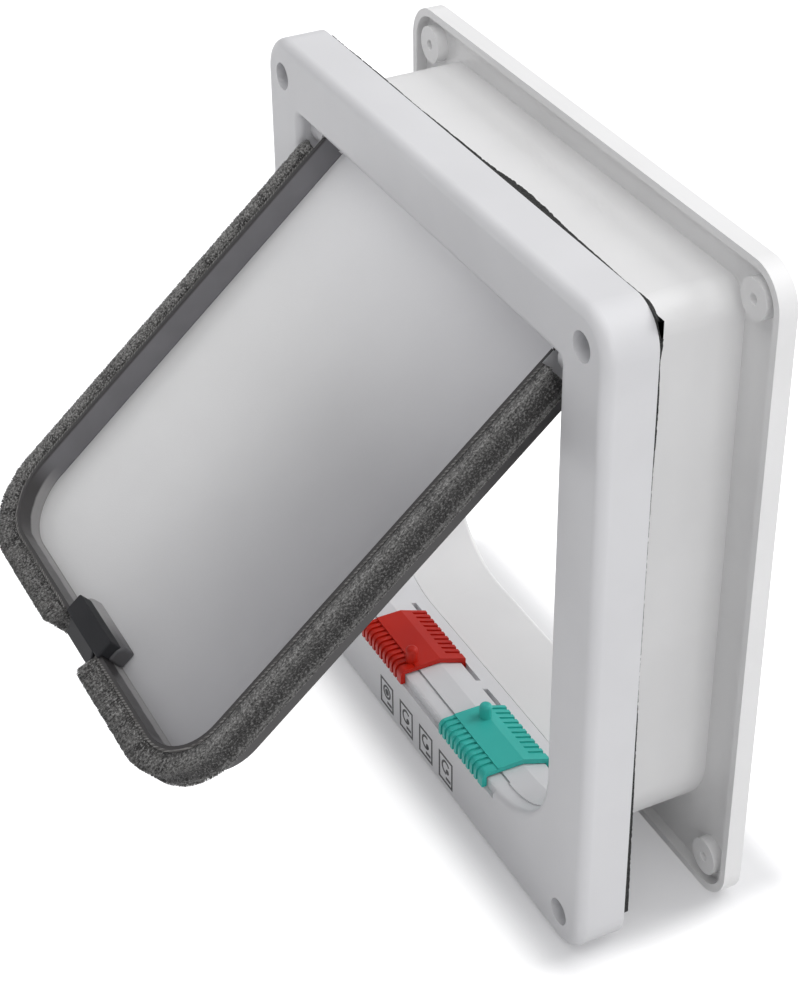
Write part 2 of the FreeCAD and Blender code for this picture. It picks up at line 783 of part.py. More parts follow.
def make_magnet_holder():
    """Make the dark clip over the foot of the rim: a barrel inside and a tongue outside."""
    body = new_body("magnet_holder")
    half_clip = S.clip_width / 2
    barrel_high = -PANE_FOOT + S.barrel_length
    plane = "YZ_Plane"

    def height(above_pane):
        """Give the sketch's across value for a height above the pane."""
        return S.pane_setback - above_pane

    sketch = new_sketch(body, "barrel_outline", plane, -S.barrel_width / 2)
    add_box(sketch, height(S.barrel_height), height(Size.of(0)), -PANE_FOOT, barrel_high,
            [None, None, None, S.barrel_softness])
    add_pad(body, sketch, S.barrel_width, "barrel")

    clip_top = height(S.rim_front + S.clip_thickness)
    sketch = new_sketch(body, "clip_outline", plane, -half_clip)
    corners = [
        (clip_top, -(RIM_BOTTOM + S.clip_thickness)),
        (height(S.tongue_front), -(RIM_BOTTOM + S.clip_thickness)),
        (height(S.tongue_front), -(RIM_BOTTOM + S.tongue_reach)),
        (height(S.tongue_back), -(RIM_BOTTOM + S.tongue_reach)),
        (height(S.tongue_back), -RIM_BOTTOM),
        (height(S.rim_front), -RIM_BOTTOM),
        (height(S.rim_front), -PANE_FOOT),
        (height(S.barrel_height / 2), -PANE_FOOT),
        (height(S.barrel_height / 2), barrel_high - S.barrel_softness),
        (clip_top, barrel_high - S.barrel_softness),
    ]
    soft = S.tongue_softness
    add_outline(sketch, corners, [soft, None, soft, soft, None, None, None, None, None, soft])
    add_pad(body, sketch, S.clip_width, "clip")

    sketch = new_sketch(body, "magnet_bore_outline", plane, -S.flap_magnet_length / 2 - S.magnet_clearance)
    add_circle(sketch, *flap_magnet_centre(), S.flap_magnet_radius + S.magnet_clearance)
    add_pocket(body, sketch, S.flap_magnet_length + 2 * S.magnet_clearance, "magnet_bore", turned=True)
    place_on_flap(body)
    return body


def flap_magnet_centre():
    """Give the middle of the flap's magnet inside the barrel, in the hanging flap."""
    return S.pane_setback - S.barrel_height / 2, -PANE_FOOT + S.barrel_length / 2


def make_flap_magnet():
    """Make the rod magnet sealed in the holder's barrel."""
    body = new_body("flap_magnet")
    sketch = new_sketch(body, "flap_magnet_outline", "YZ_Plane", -S.flap_magnet_length / 2)
    add_circle(sketch, *flap_magnet_centre(), S.flap_magnet_radius)
    add_pad(body, sketch, S.flap_magnet_length, "flap_magnet_rod")
    place_on_flap(body)
    return body


# Sliders that lock the flap one way each

def make_slider(label, side, outer_end, peg_inset, peg_setback):
    """Make one saddle over the rail with a ribbed grip on both edges and a locking peg."""
    body = new_body(label)
    left = -outer_end if side < 0 else outer_end - S.slider_length
    front = -(S.front_depth + S.slider_overhang)
    under = RAIL + S.slider_play
    top = under + S.slider_cover
    back = S.slider_back - S.front_depth
    step = S.grip_near_end - S.front_depth
    low_front = under - S.slider_skirt
    fall = ramp_drop(S.slider_back)
    crease = S.rail_depth - S.front_depth
    low_back = under - fall - S.slider_play - S.slider_hook_depth
    inner_front = front + S.slider_lip
    inner_back = back - S.slider_hook_wall

    sketch = new_sketch(body, f"{label}_saddle", "YZ_Plane", left)
    corners = [
        (front, low_front),
        (inner_front, low_front),
        (inner_front, under),
        (crease, under),
        (inner_back, under - ramp_drop(S.slider_back - S.slider_hook_wall)),
        (inner_back, low_back),
        (back, low_back),
        (back, top - fall),
        (crease, top),
        (step, top),
        (step, top - S.slider_step),
        (front, top - S.slider_step),
    ]
    rounds = [None] * len(corners)
    rounds[-1] = S.slider_round
    add_outline(sketch, corners, rounds)
    add_pad(body, sketch, S.slider_length, f"{label}_cover")

    clear = S.slider_cover
    depth = S.grip_depth
    inner_round = S.slider_round - depth
    near = [
        (front - clear, low_front - clear),
        (front + depth, low_front - clear),
        (front + depth, top - S.slider_step - depth),
        (step, top - S.slider_step - depth),
        (step, top + clear),
        (front - clear, top + clear),
    ]
    far_start = S.grip_far_start - S.front_depth
    start_fall = ramp_drop(S.grip_far_start)
    end_fall = ramp_drop(S.slider_back - S.grip_depth)
    far = [
        (back + clear, low_back - clear),
        (back + clear, top + clear),
        (far_start, top + clear),
        (far_start, top - start_fall - depth),
        (back - depth, top - end_fall - depth),
        (back - depth, low_back - clear),
    ]
    first = left + S.grip_margin
    add_grooves(body, f"{label}_near_grip", first, near, [None, None, inner_round, None, None, None])
    add_grooves(body, f"{label}_far_grip", first, far, None)

    inner_end = left + S.slider_length if side < 0 else left
    peg_x = inner_end + peg_inset * side
    sketch = new_sketch(body, f"{label}_peg_outline", "XY_Plane", under + S.slider_cover / 2)
    add_circle(sketch, peg_x, peg_setback - S.front_depth, S.peg_radius)
    peg = add_pad(body, sketch, S.slider_cover / 2 + S.peg_height, f"{label}_peg")
    peg_top = peg.Shape.BoundBox.ZMax
    add_fillet(body, f"{label}_peg_dome", S.peg_softness,
               lambda box: flat_at(peg_top, box.ZMin, box.ZMax))
    return body


def add_grooves(body, name, first, corners, radii):
    """Cut one groove of a grip and repeat it along the slider."""
    sketch = new_sketch(body, f"{name}_outline", "YZ_Plane", first)
    add_outline(sketch, corners, radii)
    groove = add_pocket(body, sketch, S.grip_groove, f"{name}_groove", turned=True)
    pattern = body.newObject("PartDesign::LinearPattern", f"{name}_grooves")
    pattern.Originals = [groove]
    pattern.Direction = (sketch, ["N_Axis"])
    pattern.Mode = "Spacing"
    pattern.Occurrences = GRIP_GROOVES
    pattern.setExpression("Offset", S.grip_pitch.text)
    body.Tip = pattern
    DOCUMENT.recompute()


def check_and_write():
    """Check every object and write each piece to its own file."""
    DOCUMENT.recompute()
    for item in DOCUMENT.Objects:
        if "Invalid" in item.State or "Error" in item.State:
            raise RuntimeError(f"{item.Name} has state {item.State}")
    os.makedirs("parts", exist_ok=True)
    for item in DOCUMENT.Objects:
        if not item.isDerivedFrom("PartDesign::Body"):
            continue
        shape = item.Shape
        if shape.isNull() or not shape.isValid():
            raise RuntimeError(f"{item.Label} has no valid shape")
        print(f"{item.Label}: {len(shape.Solids)} solid, {shape.Volume:.1f} mm3")
        shape.exportStep(f"parts/{item.Label}.step")


make_front_frame()
make_rear_frame()
make_seals()
make_hinge_pin("hinge_pin_left", -1)
make_hinge_pin("hinge_pin_right", 1)
make_sill_magnet()
make_flap_panel()
make_backing("pile_backing_left", -1)
make_backing("pile_backing_right", 1)
make_pile("pile_left", -1)
make_pile("pile_right", 1)
make_magnet_holder()
make_flap_magnet()
make_slider("red_slider", -1, S.red_outer_end, S.red_peg_inset, S.red_peg_setback)
make_slider("green_slider", 1, S.green_outer_end, S.green_peg_inset, S.green_peg_setback)
check_and_write()
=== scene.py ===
"""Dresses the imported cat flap: finishes for every moulding, brush pile, foam seals and prints.

Everything is in metres in the frame of the part: X runs to the right as seen from outside, Y runs
through the door and Z runs up.
"""

import json
import logging
import math
import random
from dataclasses import dataclass, field
from enum import Enum
from typing import Any

import bmesh
import bpy
import numpy as np
from mathutils import Matrix, Vector, noise

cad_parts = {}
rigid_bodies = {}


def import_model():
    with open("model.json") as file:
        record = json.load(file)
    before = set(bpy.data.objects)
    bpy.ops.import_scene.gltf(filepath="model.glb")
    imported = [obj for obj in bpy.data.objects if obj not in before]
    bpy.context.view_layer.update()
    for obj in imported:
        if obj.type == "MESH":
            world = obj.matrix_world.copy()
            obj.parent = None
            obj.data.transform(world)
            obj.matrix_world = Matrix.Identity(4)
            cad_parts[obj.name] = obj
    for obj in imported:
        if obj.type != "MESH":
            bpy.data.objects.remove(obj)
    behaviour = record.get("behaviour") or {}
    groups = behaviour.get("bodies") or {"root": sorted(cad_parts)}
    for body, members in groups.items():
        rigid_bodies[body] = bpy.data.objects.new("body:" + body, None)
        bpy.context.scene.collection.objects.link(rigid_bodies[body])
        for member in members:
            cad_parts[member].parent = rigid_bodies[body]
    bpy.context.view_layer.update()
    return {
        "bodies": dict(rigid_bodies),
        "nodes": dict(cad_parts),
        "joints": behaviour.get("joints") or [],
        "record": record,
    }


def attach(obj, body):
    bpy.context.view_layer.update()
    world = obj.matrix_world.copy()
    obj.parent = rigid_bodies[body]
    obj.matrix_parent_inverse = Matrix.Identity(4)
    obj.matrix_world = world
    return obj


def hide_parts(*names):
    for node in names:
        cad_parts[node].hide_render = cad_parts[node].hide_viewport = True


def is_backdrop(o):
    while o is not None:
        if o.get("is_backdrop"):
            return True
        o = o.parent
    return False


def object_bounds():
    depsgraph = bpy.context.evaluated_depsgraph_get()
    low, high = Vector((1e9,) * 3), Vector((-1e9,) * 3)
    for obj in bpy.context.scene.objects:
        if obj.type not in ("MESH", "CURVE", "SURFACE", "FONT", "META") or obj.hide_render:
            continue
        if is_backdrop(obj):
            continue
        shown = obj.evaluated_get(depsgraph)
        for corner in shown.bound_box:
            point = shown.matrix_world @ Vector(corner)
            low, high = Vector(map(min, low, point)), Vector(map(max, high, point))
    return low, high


LOG = logging.getLogger("cat_flap")
MM = 0.001
Colour = tuple[float, float, float]


class Side(Enum):
    """A side of the flap as seen from outside."""

    LEFT = -1
    RIGHT = 1


class Edge(Enum):
    """An edge of the front frame that carries a foam strip."""

    TOP = "top"
    BOTTOM = "bottom"
    LEFT = "left"
    RIGHT = "right"


class Sign(Enum):
    """A small pictogram that is printed below the sliders."""

    CLOSED = "closed"
    OPEN_IN = "open in"
    OPEN_OUT = "open out"
    OPEN_BOTH = "open both ways"

    @property
    def arc(self) -> tuple[float, float]:
        """Give where the sign's ring starts and ends, in degrees."""
        return {
            Sign.CLOSED: (0.0, 360.0),
            Sign.OPEN_IN: (40.0, 300.0),
            Sign.OPEN_OUT: (60.0, 320.0),
            Sign.OPEN_BOTH: (30.0, 280.0),
        }[self]


class Layer(Enum):
    """Where a fibre shows on a brush strip."""

    TIPS = "tips"
    FRONT = "front"
    BACK = "back"

    def draw(self, numbers: random.Random) -> tuple[float, float]:
        """Draw a fibre's row, from -1 to 1, and where it comes out of the bundle."""
        if self is Layer.TIPS:
            return numbers.uniform(-1.0, 1.0), numbers.uniform(0.72, 0.88)
        start = numbers.uniform(0.0, 0.5)
        if self is Layer.FRONT:
            return numbers.uniform(0.93, 1.03), start
        return numbers.uniform(-1.0, -0.93), start


# Materials


class Value:
    """A number or vector on its way through a material, with Python's own operators."""

    def __init__(self, graph: "Graph", socket: bpy.types.NodeSocket) -> None:
        """Keep the socket and the graph that it belongs to."""
        self.graph = graph
        self.socket = socket

    def maths(self, operation: str, *values: Any) -> "Value":
        """Add one Math node.

        Args:
            operation: Blender's name of the operation.
            values: The node's inputs, as numbers or other values.

        Returns:
            What the node gives.
        """
        inputs = dict(enumerate(values))
        return self.graph.node("ShaderNodeMath", {"operation": operation}, inputs)

    def __add__(self, other: Any) -> "Value":
        """Add."""
        return self.maths("ADD", self, other)

    def __radd__(self, other: Any) -> "Value":
        """Add, from the right."""
        return self.maths("ADD", other, self)

    def __sub__(self, other: Any) -> "Value":
        """Subtract."""
        return self.maths("SUBTRACT", self, other)

    def __rsub__(self, other: Any) -> "Value":
        """Subtract, from the right."""
        return self.maths("SUBTRACT", other, self)

    def __mul__(self, other: Any) -> "Value":
        """Multiply."""
        return self.maths("MULTIPLY", self, other)

    def __rmul__(self, other: Any) -> "Value":
        """Multiply, from the right."""
        return self.maths("MULTIPLY", other, self)

    def __abs__(self) -> "Value":
        """Drop the sign."""
        return self.maths("ABSOLUTE", self)

    def __gt__(self, other: Any) -> "Value":
        """Give 1 where this is more than the other, else 0."""
        return self.maths("GREATER_THAN", self, other)

    def __lt__(self, other: Any) -> "Value":
        """Give 1 where this is less than the other, else 0."""
        return self.maths("LESS_THAN", self, other)

    def most(self, other: Any) -> "Value":
        """Give the larger of the two."""
        return self.maths("MAXIMUM", self, other)

    def least(self, other: Any) -> "Value":
        """Give the smaller of the two."""
        return self.maths("MINIMUM", self, other)

    def root(self) -> "Value":
        """Give the square root."""
        return self.maths("SQRT", self)

    def wave(self) -> "Value":
        """Give the sine."""
        return self.maths("SINE", self)

    def ease(self, low: float, high: float) -> "Value":
        """Give a soft step from 0 at low to 1 at high."""
        return self.graph.node(
            "ShaderNodeMapRange",
            {"interpolation_type": "SMOOTHSTEP"},
            {0: self, 1: low, 2: high, 3: 0.0, 4: 1.0},
        )


class Graph:
    """The nodes of one material or of the world."""

    def __init__(self, owner: bpy.types.Material | bpy.types.World) -> None:
        """Empty the owner's node tree."""
        owner.use_nodes = True
        self.owner = owner
        self.tree = owner.node_tree
        self.tree.nodes.clear()

    def node(
        self,
        kind: str,
        settings: dict[str, Any] | None = None,
        inputs: dict[int | str, Any] | None = None,
        output: int | str | None = 0,
    ) -> Value:
        """Add one node.

        Args:
            kind: Blender's name of the node type.
            settings: Values of the node's own options, set first; stops are a ramp's places and
                colours.
            inputs: Values or links by socket.
            output: The socket that is wanted, or None for a node that ends the graph.

        Returns:
            The wanted output, or the first input of a node that ends the graph.
        """
        made = self.tree.nodes.new(kind)
        for name, setting in (settings or {}).items():
            if name == "stops":
                self._set_stops(made.color_ramp, setting)
            else:
                setattr(made, name, setting)
        for key, item in (inputs or {}).items():
            socket = made.inputs[key]
            if isinstance(item, Value):
                self.tree.links.new(item.socket, socket)
            elif socket.type == "RGBA" and len(item) == 3:
                socket.default_value = (*item, 1.0)
            else:
                socket.default_value = item
        return Value(self, made.inputs[0] if output is None else made.outputs[output])

    @staticmethod
    def _set_stops(ramp: bpy.types.ColorRamp, stops: list[tuple[float, Colour]]) -> None:
        """Give a ramp its places and colours."""
        while len(ramp.elements) < len(stops):
            ramp.elements.new(1.0)
        for element, (place, colour) in zip(ramp.elements, stops):
            element.position = place
            element.color = (*colour, 1.0)

    def place(self) -> Value:
        """Give the point on the piece, in metres."""
        return self.node("ShaderNodeTexCoord", output="Object")

    def attribute(self, name: str) -> Value:
        """Give a number that is kept on the piece's points."""
        return self.node("ShaderNodeAttribute", {"attribute_name": name}, output="Fac")

    def parts(self, vector: Value) -> tuple[Value, Value, Value]:
        """Split a vector."""
        first = self.node("ShaderNodeSeparateXYZ", inputs={0: vector})
        outputs = first.socket.node.outputs
        return first, Value(self, outputs[1]), Value(self, outputs[2])

    def scaled(self, vector: Value, factors: Colour) -> Value:
        """Stretch a vector by a factor along each axis."""
        return self.node("ShaderNodeVectorMath", {"operation": "MULTIPLY"}, {0: vector, 1: factors})

    def along(self, vector: Value, direction: Vector) -> Value:
        """Give how far a vector goes in a direction."""
        inputs = {0: vector, 1: tuple(direction)}
        return self.node("ShaderNodeVectorMath", {"operation": "DOT_PRODUCT"}, inputs, "Value")

    def grain(self, vector: Value, scale: float, detail: float = 2.0, rough: float = 0.5) -> Value:
        """Give smooth noise between 0 and 1."""
        inputs = {"Vector": vector, "Scale": scale, "Detail": detail, "Roughness": rough}
        return self.node("ShaderNodeTexNoise", inputs=inputs)

    def mix(self, factor: Any, first: Any, second: Any) -> Value:
        """Blend two colours."""
        settings = {"data_type": "RGBA"}
        return self.node("ShaderNodeMix", settings, {0: factor, 6: first, 7: second}, 2)

    def ramp(self, factor: Value, stops: list[tuple[float, Colour]]) -> Value:
        """Turn a number into a colour."""
        return self.node("ShaderNodeValToRGB", {"stops": stops}, {0: factor})

    def bump(self, height: Value, strength: float, distance: float) -> Value:
        """Turn a height into a normal."""
        inputs = {"Height": height, "Strength": strength, "Distance": distance}
        return self.node("ShaderNodeBump", inputs=inputs)

    def principled(self, **sockets: Any) -> Value:
        """Add a Principled shader, with spaces in its socket names written as underscores."""
        inputs = {name.replace("_", " "): item for name, item in sockets.items()}
        return self.node("ShaderNodeBsdfPrincipled", inputs=inputs)

    def finish(self, shader: Value) -> bpy.types.Material | bpy.types.World:
        """Send a shader to the surface and give its owner."""
        world = isinstance(self.owner, bpy.types.World)
        kind = "ShaderNodeOutputWorld" if world else "ShaderNodeOutputMaterial"
        self.node(kind, inputs={"Surface": shader}, output=None)
        return self.owner


@dataclass(frozen=True)
class MouldedPlastic:
    """Injection-moulded plastic with a fine texture and faint clouds in its colour."""

    name: str
    colour: Colour
    cloud: Colour
    roughness: float = 0.34
    texture: float = 0.12
    texture_scale: float = 1500.0
    specular: float = 0.5

    def material(self) -> bpy.types.Material:
        """Build the material."""
        graph = Graph(bpy.data.materials.new(self.name))
        place = graph.place()
        cloud = graph.grain(place, 28.0, 3.0).ease(0.35, 0.65)
        colour = graph.mix(cloud, self.colour, self.cloud)
        smear = graph.grain(graph.scaled(place, (1.0, 1.0, 0.3)), 60.0, 4.0)
        fine = graph.grain(place, self.texture_scale, 2.0)
        shader = graph.principled(
            Base_Color=colour,
            Roughness=self.roughness - 0.05 + 0.1 * smear,
            Normal=graph.bump(fine, self.texture, 0.0001),
            Specular_IOR_Level=self.specular,
        )
        return graph.finish(shader)


@dataclass(frozen=True)
class FlapAxes:
    """The flap's own directions while it stands open, for pieces and for patterns on them."""

    hinge: Vector = field(default_factory=lambda: Vector((-1.0, -5.7, 77.8)) * MM)
    open_angle: float = math.radians(48.6)
    pane_setback: float = 4.5 * MM

    @property
    def down(self) -> Vector:
        """Give the way from the hinge to the flap's foot."""
        return Vector((0.0, -math.sin(self.open_angle), -math.cos(self.open_angle)))

    @property
    def out(self) -> Vector:
        """Give the way out of the flap's outer face."""
        return Vector((0.0, -math.cos(self.open_angle), math.sin(self.open_angle)))

    def point(self, across: float, down: float, above: float) -> Vector:
        """Give a point on the flap.

        Args:
            across: Distance to the right of the middle.
            down: Distance below the hinge axis.
            above: Height above the pane's outer face.

        Returns:
            The point in the frame of the part.
        """
        level = self.hinge + self.down * down + self.out * (above - self.pane_setback)
        return level + Vector((across, 0.0, 0.0))

    def turn(self) -> Matrix:
        """Give the matrix that takes (across, down, above) to a point."""
        columns = Matrix((Vector((1, 0, 0)), self.down, self.out)).transposed().to_4x4()
        return Matrix.Translation(self.point(0.0, 0.0, 0.0)) @ columns

    def read(self, graph: Graph) -> tuple[Value, Value, Value]:
        """Give across, down and above in a material."""
        moved = graph.node(
            "ShaderNodeVectorMath",
            {"operation": "SUBTRACT"},
            {0: graph.place(), 1: tuple(self.point(0.0, 0.0, 0.0))},
        )
        across = graph.along(moved, Vector((1, 0, 0)))
        return across, graph.along(moved, self.down), graph.along(moved, self.out)


FLAP = FlapAxes()


@dataclass(frozen=True)
class SmokyPanel:
    """Frosted see-through pane inside a darker rim, both of one moulding; the pane carries painted
    shade that darkens it to the right and towards its foot, and a painted glow that is brightest
    near the hinge.
    """

    name: str = "smoky_panel"
    # Painted light and shade: the pane's colour runs from lit on the left to shaded on the right.
    pane_lit_left: Colour = (0.80, 0.80, 0.80)
    pane_shaded_right: Colour = (0.42, 0.418, 0.43)
    # Painted glow: the pane shines as if it scattered light from behind, most near the hinge.
    painted_glow_left: Colour = (0.045, 0.045, 0.045)
    painted_glow_right: Colour = (0.012, 0.012, 0.014)
    painted_glow_top: Colour = (0.10, 0.10, 0.104)
    rim_dark: Colour = (0.043, 0.040, 0.041)
    rim_wall: Colour = (0.185, 0.183, 0.195)
    rim_light: Colour = (0.27, 0.265, 0.265)
    ear: Colour = (0.55, 0.55, 0.56)
    half_width: float = 64.65 * MM
    length: float = 142.9 * MM
    corner: float = 16.0 * MM
    wall: float = 1.0 * MM
    ear_foot: float = 7.0 * MM
    pane_roughness: float = 0.5

    def inward(self, across: Value, down: Value) -> Value:
        """Give the distance to the rim's inner wall, less than zero on the pane."""
        side = abs(across) - (self.half_width - self.corner)
        foot = down - (self.length - self.corner)
        out_side = side.most(0.0)
        out_foot = foot.most(0.0)
        corner = (out_side * out_side + out_foot * out_foot).root()
        return corner + side.most(foot).least(0.0) - self.corner

    def rim_colour(
        self, graph: Graph, across: Value, down: Value, above: Value, streak: Value
    ) -> Value:
        """Give the rim's tones: light next to the pane at the foot and dark at every edge."""
        inward = self.inward(across, down)
        uneven = (streak - 0.5) * (1.2 * MM)
        band = (above + uneven).ease(3.0 * MM, 3.8 * MM)
        foot = graph.mix(band, self.rim_light, self.rim_dark)
        wall = graph.mix(streak * 0.5, self.rim_wall, self.rim_dark)
        inner = graph.mix(down.ease(0.124, 0.134), wall, foot)
        edge = above.ease(7.0 * MM, 7.7 * MM).most(inward.ease(0.3 * MM, 0.6 * MM))
        colour = graph.mix(edge, inner, self.rim_dark)
        outside = abs(across) > self.half_width + self.wall - 0.05 * MM
        near_hinge = outside * (down < self.ear_foot)
        return graph.mix(near_hinge, colour, self.ear)

    def material(self) -> bpy.types.Material:
        """Build the material."""
        graph = Graph(bpy.data.materials.new(self.name))
        place = graph.place()
        across, down, above = FLAP.read(graph)
        cloud = graph.grain(place, 16.0, 3.0)
        # Painted shade: darker to the right and towards the foot, with random clouds.
        shade = (across + down * 0.16 + (cloud - 0.5) * 0.03).ease(-0.055, 0.085)
        frost = graph.grain(place, 2600.0, 2.0)
        # Painted light: a glow that is brighter on the left and, below, brightest near the hinge.
        painted_glow_sides = graph.mix(shade, self.painted_glow_left, self.painted_glow_right)
        pane = graph.principled(
            Base_Color=graph.mix(shade, self.pane_lit_left, self.pane_shaded_right),
            Roughness=self.pane_roughness + 0.08 * cloud,
            IOR=1.3,
            Transmission_Weight=0.35,
            Emission_Color=graph.mix(down.ease(0.0, 0.065), self.painted_glow_top, painted_glow_sides),
            Emission_Strength=1.0,
            Normal=graph.bump(frost, 0.25, 0.0001),
        )
        streak = graph.grain(graph.scaled(place, (1.0, 0.25, 0.25)), 300.0, 3.0)
        rim = graph.principled(
            Base_Color=self.rim_colour(graph, across, down, above, streak),
            Roughness=0.24 + 0.16 * streak,
            IOR=1.5,
        )
        on_rim = self.inward(across, down).ease(-0.2 * MM, -0.08 * MM)
        shader = graph.node("ShaderNodeMixShader", inputs={0: on_rim, 1: pane, 2: rim})
        return graph.finish(shader)


@dataclass(frozen=True)
class BarrelPlastic:
    """Smoky moulding of the magnet's barrel, with painted shade that darkens it towards its right
    end and painted light on its top.
    """

    name: str = "barrel_plastic"
    smoky: Colour = (0.30, 0.295, 0.295)
    # Painted shade: the tone of the barrel's shaded right end.
    shaded: Colour = (0.075, 0.074, 0.078)
    fade_start: float = -4.0 * MM
    fade_end: float = 13.5 * MM

    def material(self) -> bpy.types.Material:
        """Build the material."""
        graph = Graph(bpy.data.materials.new(self.name))
        across, _, above = FLAP.read(graph)
        cloud = graph.grain(graph.place(), 300.0, 3.0)
        fine = graph.grain(graph.place(), 1800.0, 2.0)
        # Painted shade towards the right end and painted light towards the top, with random clouds.
        shade = (across + cloud * (3.0 * MM) - above * 0.4).ease(self.fade_start, self.fade_end)
        shader = graph.principled(
            Base_Color=graph.mix(shade, self.smoky, self.shaded),
            Roughness=0.3 + 0.1 * cloud,
            Normal=graph.bump(fine, 0.2, 0.0001),
        )
        return graph.finish(shader)


@dataclass(frozen=True)
class WovenTape:
    """Woven backing tape with light locking stitches along its front edge."""

    name: str = "woven_tape"
    light: Colour = (0.20, 0.195, 0.19)
    dark: Colour = (0.05, 0.046, 0.043)
    thread: float = 0.5 * MM
    front: float = 8.0 * MM

    def material(self) -> bpy.types.Material:
        """Build the material."""
        graph = Graph(bpy.data.materials.new(self.name))
        across, down, above = FLAP.read(graph)
        turn = 2.0 * math.pi / self.thread
        run = (down + abs(across)) * turn
        weave = run.wave() * (above * turn).wave()
        wander = graph.grain(graph.place(), 500.0, 2.0)
        stitch = (run * 0.42 + wander * 6.0).wave().ease(-0.2, 0.6) * wander.ease(0.3, 0.6)
        woven = graph.mix(weave * 0.25 + 0.5, self.dark, self.light)
        edge = above.ease(self.front - 0.3 * MM, self.front - 0.1 * MM)
        colour = graph.mix(edge, woven, graph.mix(stitch, self.dark, self.light))
        shader = graph.principled(
            Base_Color=colour,
            Roughness=0.85,
            Normal=graph.bump(weave, 0.6, 0.0001),
            Sheen_Weight=0.3,
        )
        return graph.finish(shader)


@dataclass(frozen=True)
class BrushPile:
    """Cut pile with painted light and shade: painted shade at the roots, in the partings between
    clumps and over the tips of the middle rows, a painted highlight along the back edge, and specks
    of painted glints and painted shade over a random tone per fibre.
    """

    name: str = "brush_pile"
    root: Colour = (0.055, 0.053, 0.051)
    middle: Colour = (0.165, 0.162, 0.157)
    tip: Colour = (0.24, 0.237, 0.231)
    # Colour of the painted shade and of the dark specks.
    deep: Colour = (0.016, 0.015, 0.015)
    # Colour of the painted light on the back edge and of the painted glints.
    light: Colour = (0.48, 0.475, 0.465)
    back_low: float = 0.6 * MM
    back_high: float = 2.4 * MM

    def material(self) -> bpy.types.Material:
        """Build the material."""
        graph = Graph(bpy.data.materials.new(self.name))
        reach = graph.attribute("fibre_reach")
        tone = graph.attribute("fibre_tone")
        row = graph.attribute("fibre_row")
        run = graph.attribute("fibre_run")
        place = graph.place()
        along = {0: run, 1: reach * (1.2 * MM), 2: row * (2.0 * MM)}
        line = graph.node("ShaderNodeCombineXYZ", inputs=along)
        clump = graph.grain(line, 420.0, 2.0)
        fine = graph.grain(place, 1600.0, 2.0, 0.7)
        _, _, above = FLAP.read(graph)
        # Painted shade: dark at the roots, lighter towards the tips.
        colour = graph.ramp(reach, [(0.0, self.root), (0.3, self.middle), (1.0, self.tip)])
        # Painted shade in the partings between clumps, deepest at the roots.
        painted_parting_shade = clump.ease(0.52, 0.64) * (1.2 - reach)
        colour = graph.mix(painted_parting_shade * 0.85, colour, self.deep)
        # Painted shade over the tips of the middle rows.
        colour = graph.mix(row * reach * (0.78 + 0.2 * clump), colour, self.deep)
        # Painted light along the strip's back edge.
        painted_back_light = above.ease(self.back_high, self.back_low)
        colour = graph.mix(painted_back_light * reach * 0.45, colour, self.light)
        # Painted glints in light specks.
        colour = graph.mix(fine.ease(0.52, 0.64) * (0.7 - 0.35 * row), colour, self.light)
        # Painted shade in dark specks, mixed with a random tone per fibre.
        colour = graph.mix(fine.ease(0.50, 0.36) * 0.7 + tone * 0.3, colour, self.deep)
        shader = graph.principled(
            Base_Color=colour,
            Roughness=0.6 + 0.2 * fine,
            Sheen_Weight=0.1,
            Specular_IOR_Level=0.3,
        )
        return graph.finish(shader)


@dataclass(frozen=True)
class ClosedFoam:
    """Black closed-cell foam with pits."""

    name: str = "black_foam"
    pit: Colour = (0.012, 0.012, 0.012)
    skin: Colour = (0.055, 0.055, 0.055)

    def material(self) -> bpy.types.Material:
        """Build the material."""
        graph = Graph(bpy.data.materials.new(self.name))
        place = graph.place()
        cells = graph.node(
            "ShaderNodeTexVoronoi", {"feature": "F1"}, {"Vector": place, "Scale": 2200.0}
        )
        pits = graph.grain(place, 700.0, 3.0)
        shader = graph.principled(
            Base_Color=graph.mix(cells, self.pit, self.skin),
            Roughness=0.8 + 0.15 * pits,
            Normal=graph.bump(cells + pits, 0.8, 0.0002),
            Specular_IOR_Level=0.25,
        )
        return graph.finish(shader)


@dataclass(frozen=True)
class PrintedInk:
    """Thin grey ink with small gaps where it missed the texture below."""

    name: str = "printed_ink"
    ink: Colour = (0.035, 0.035, 0.038)
    missed: Colour = (0.22, 0.22, 0.23)

    def material(self) -> bpy.types.Material:
        """Build the material."""
        graph = Graph(bpy.data.materials.new(self.name))
        speck = graph.grain(graph.place(), 2600.0, 2.0).ease(0.58, 0.72)
        shader = graph.principled(
            Base_Color=graph.mix(speck, self.ink, self.missed),
            Roughness=0.5 + 0.2 * speck,
        )
        return graph.finish(shader)


@dataclass(frozen=True)
class DrawnMetal:
    """Drawn or plated metal with fine lines along X."""

    name: str
    colour: Colour
    roughness: float

    def material(self) -> bpy.types.Material:
        """Build the material."""
        graph = Graph(bpy.data.materials.new(self.name))
        lines = graph.grain(graph.scaled(graph.place(), (0.02, 1.0, 1.0)), 3000.0, 2.0)
        shader = graph.principled(
            Base_Color=graph.mix(lines * 0.3, self.colour, (0.2, 0.2, 0.2)),
            Metallic=1.0,
            Roughness=self.roughness + 0.15 * lines,
        )
        return graph.finish(shader)


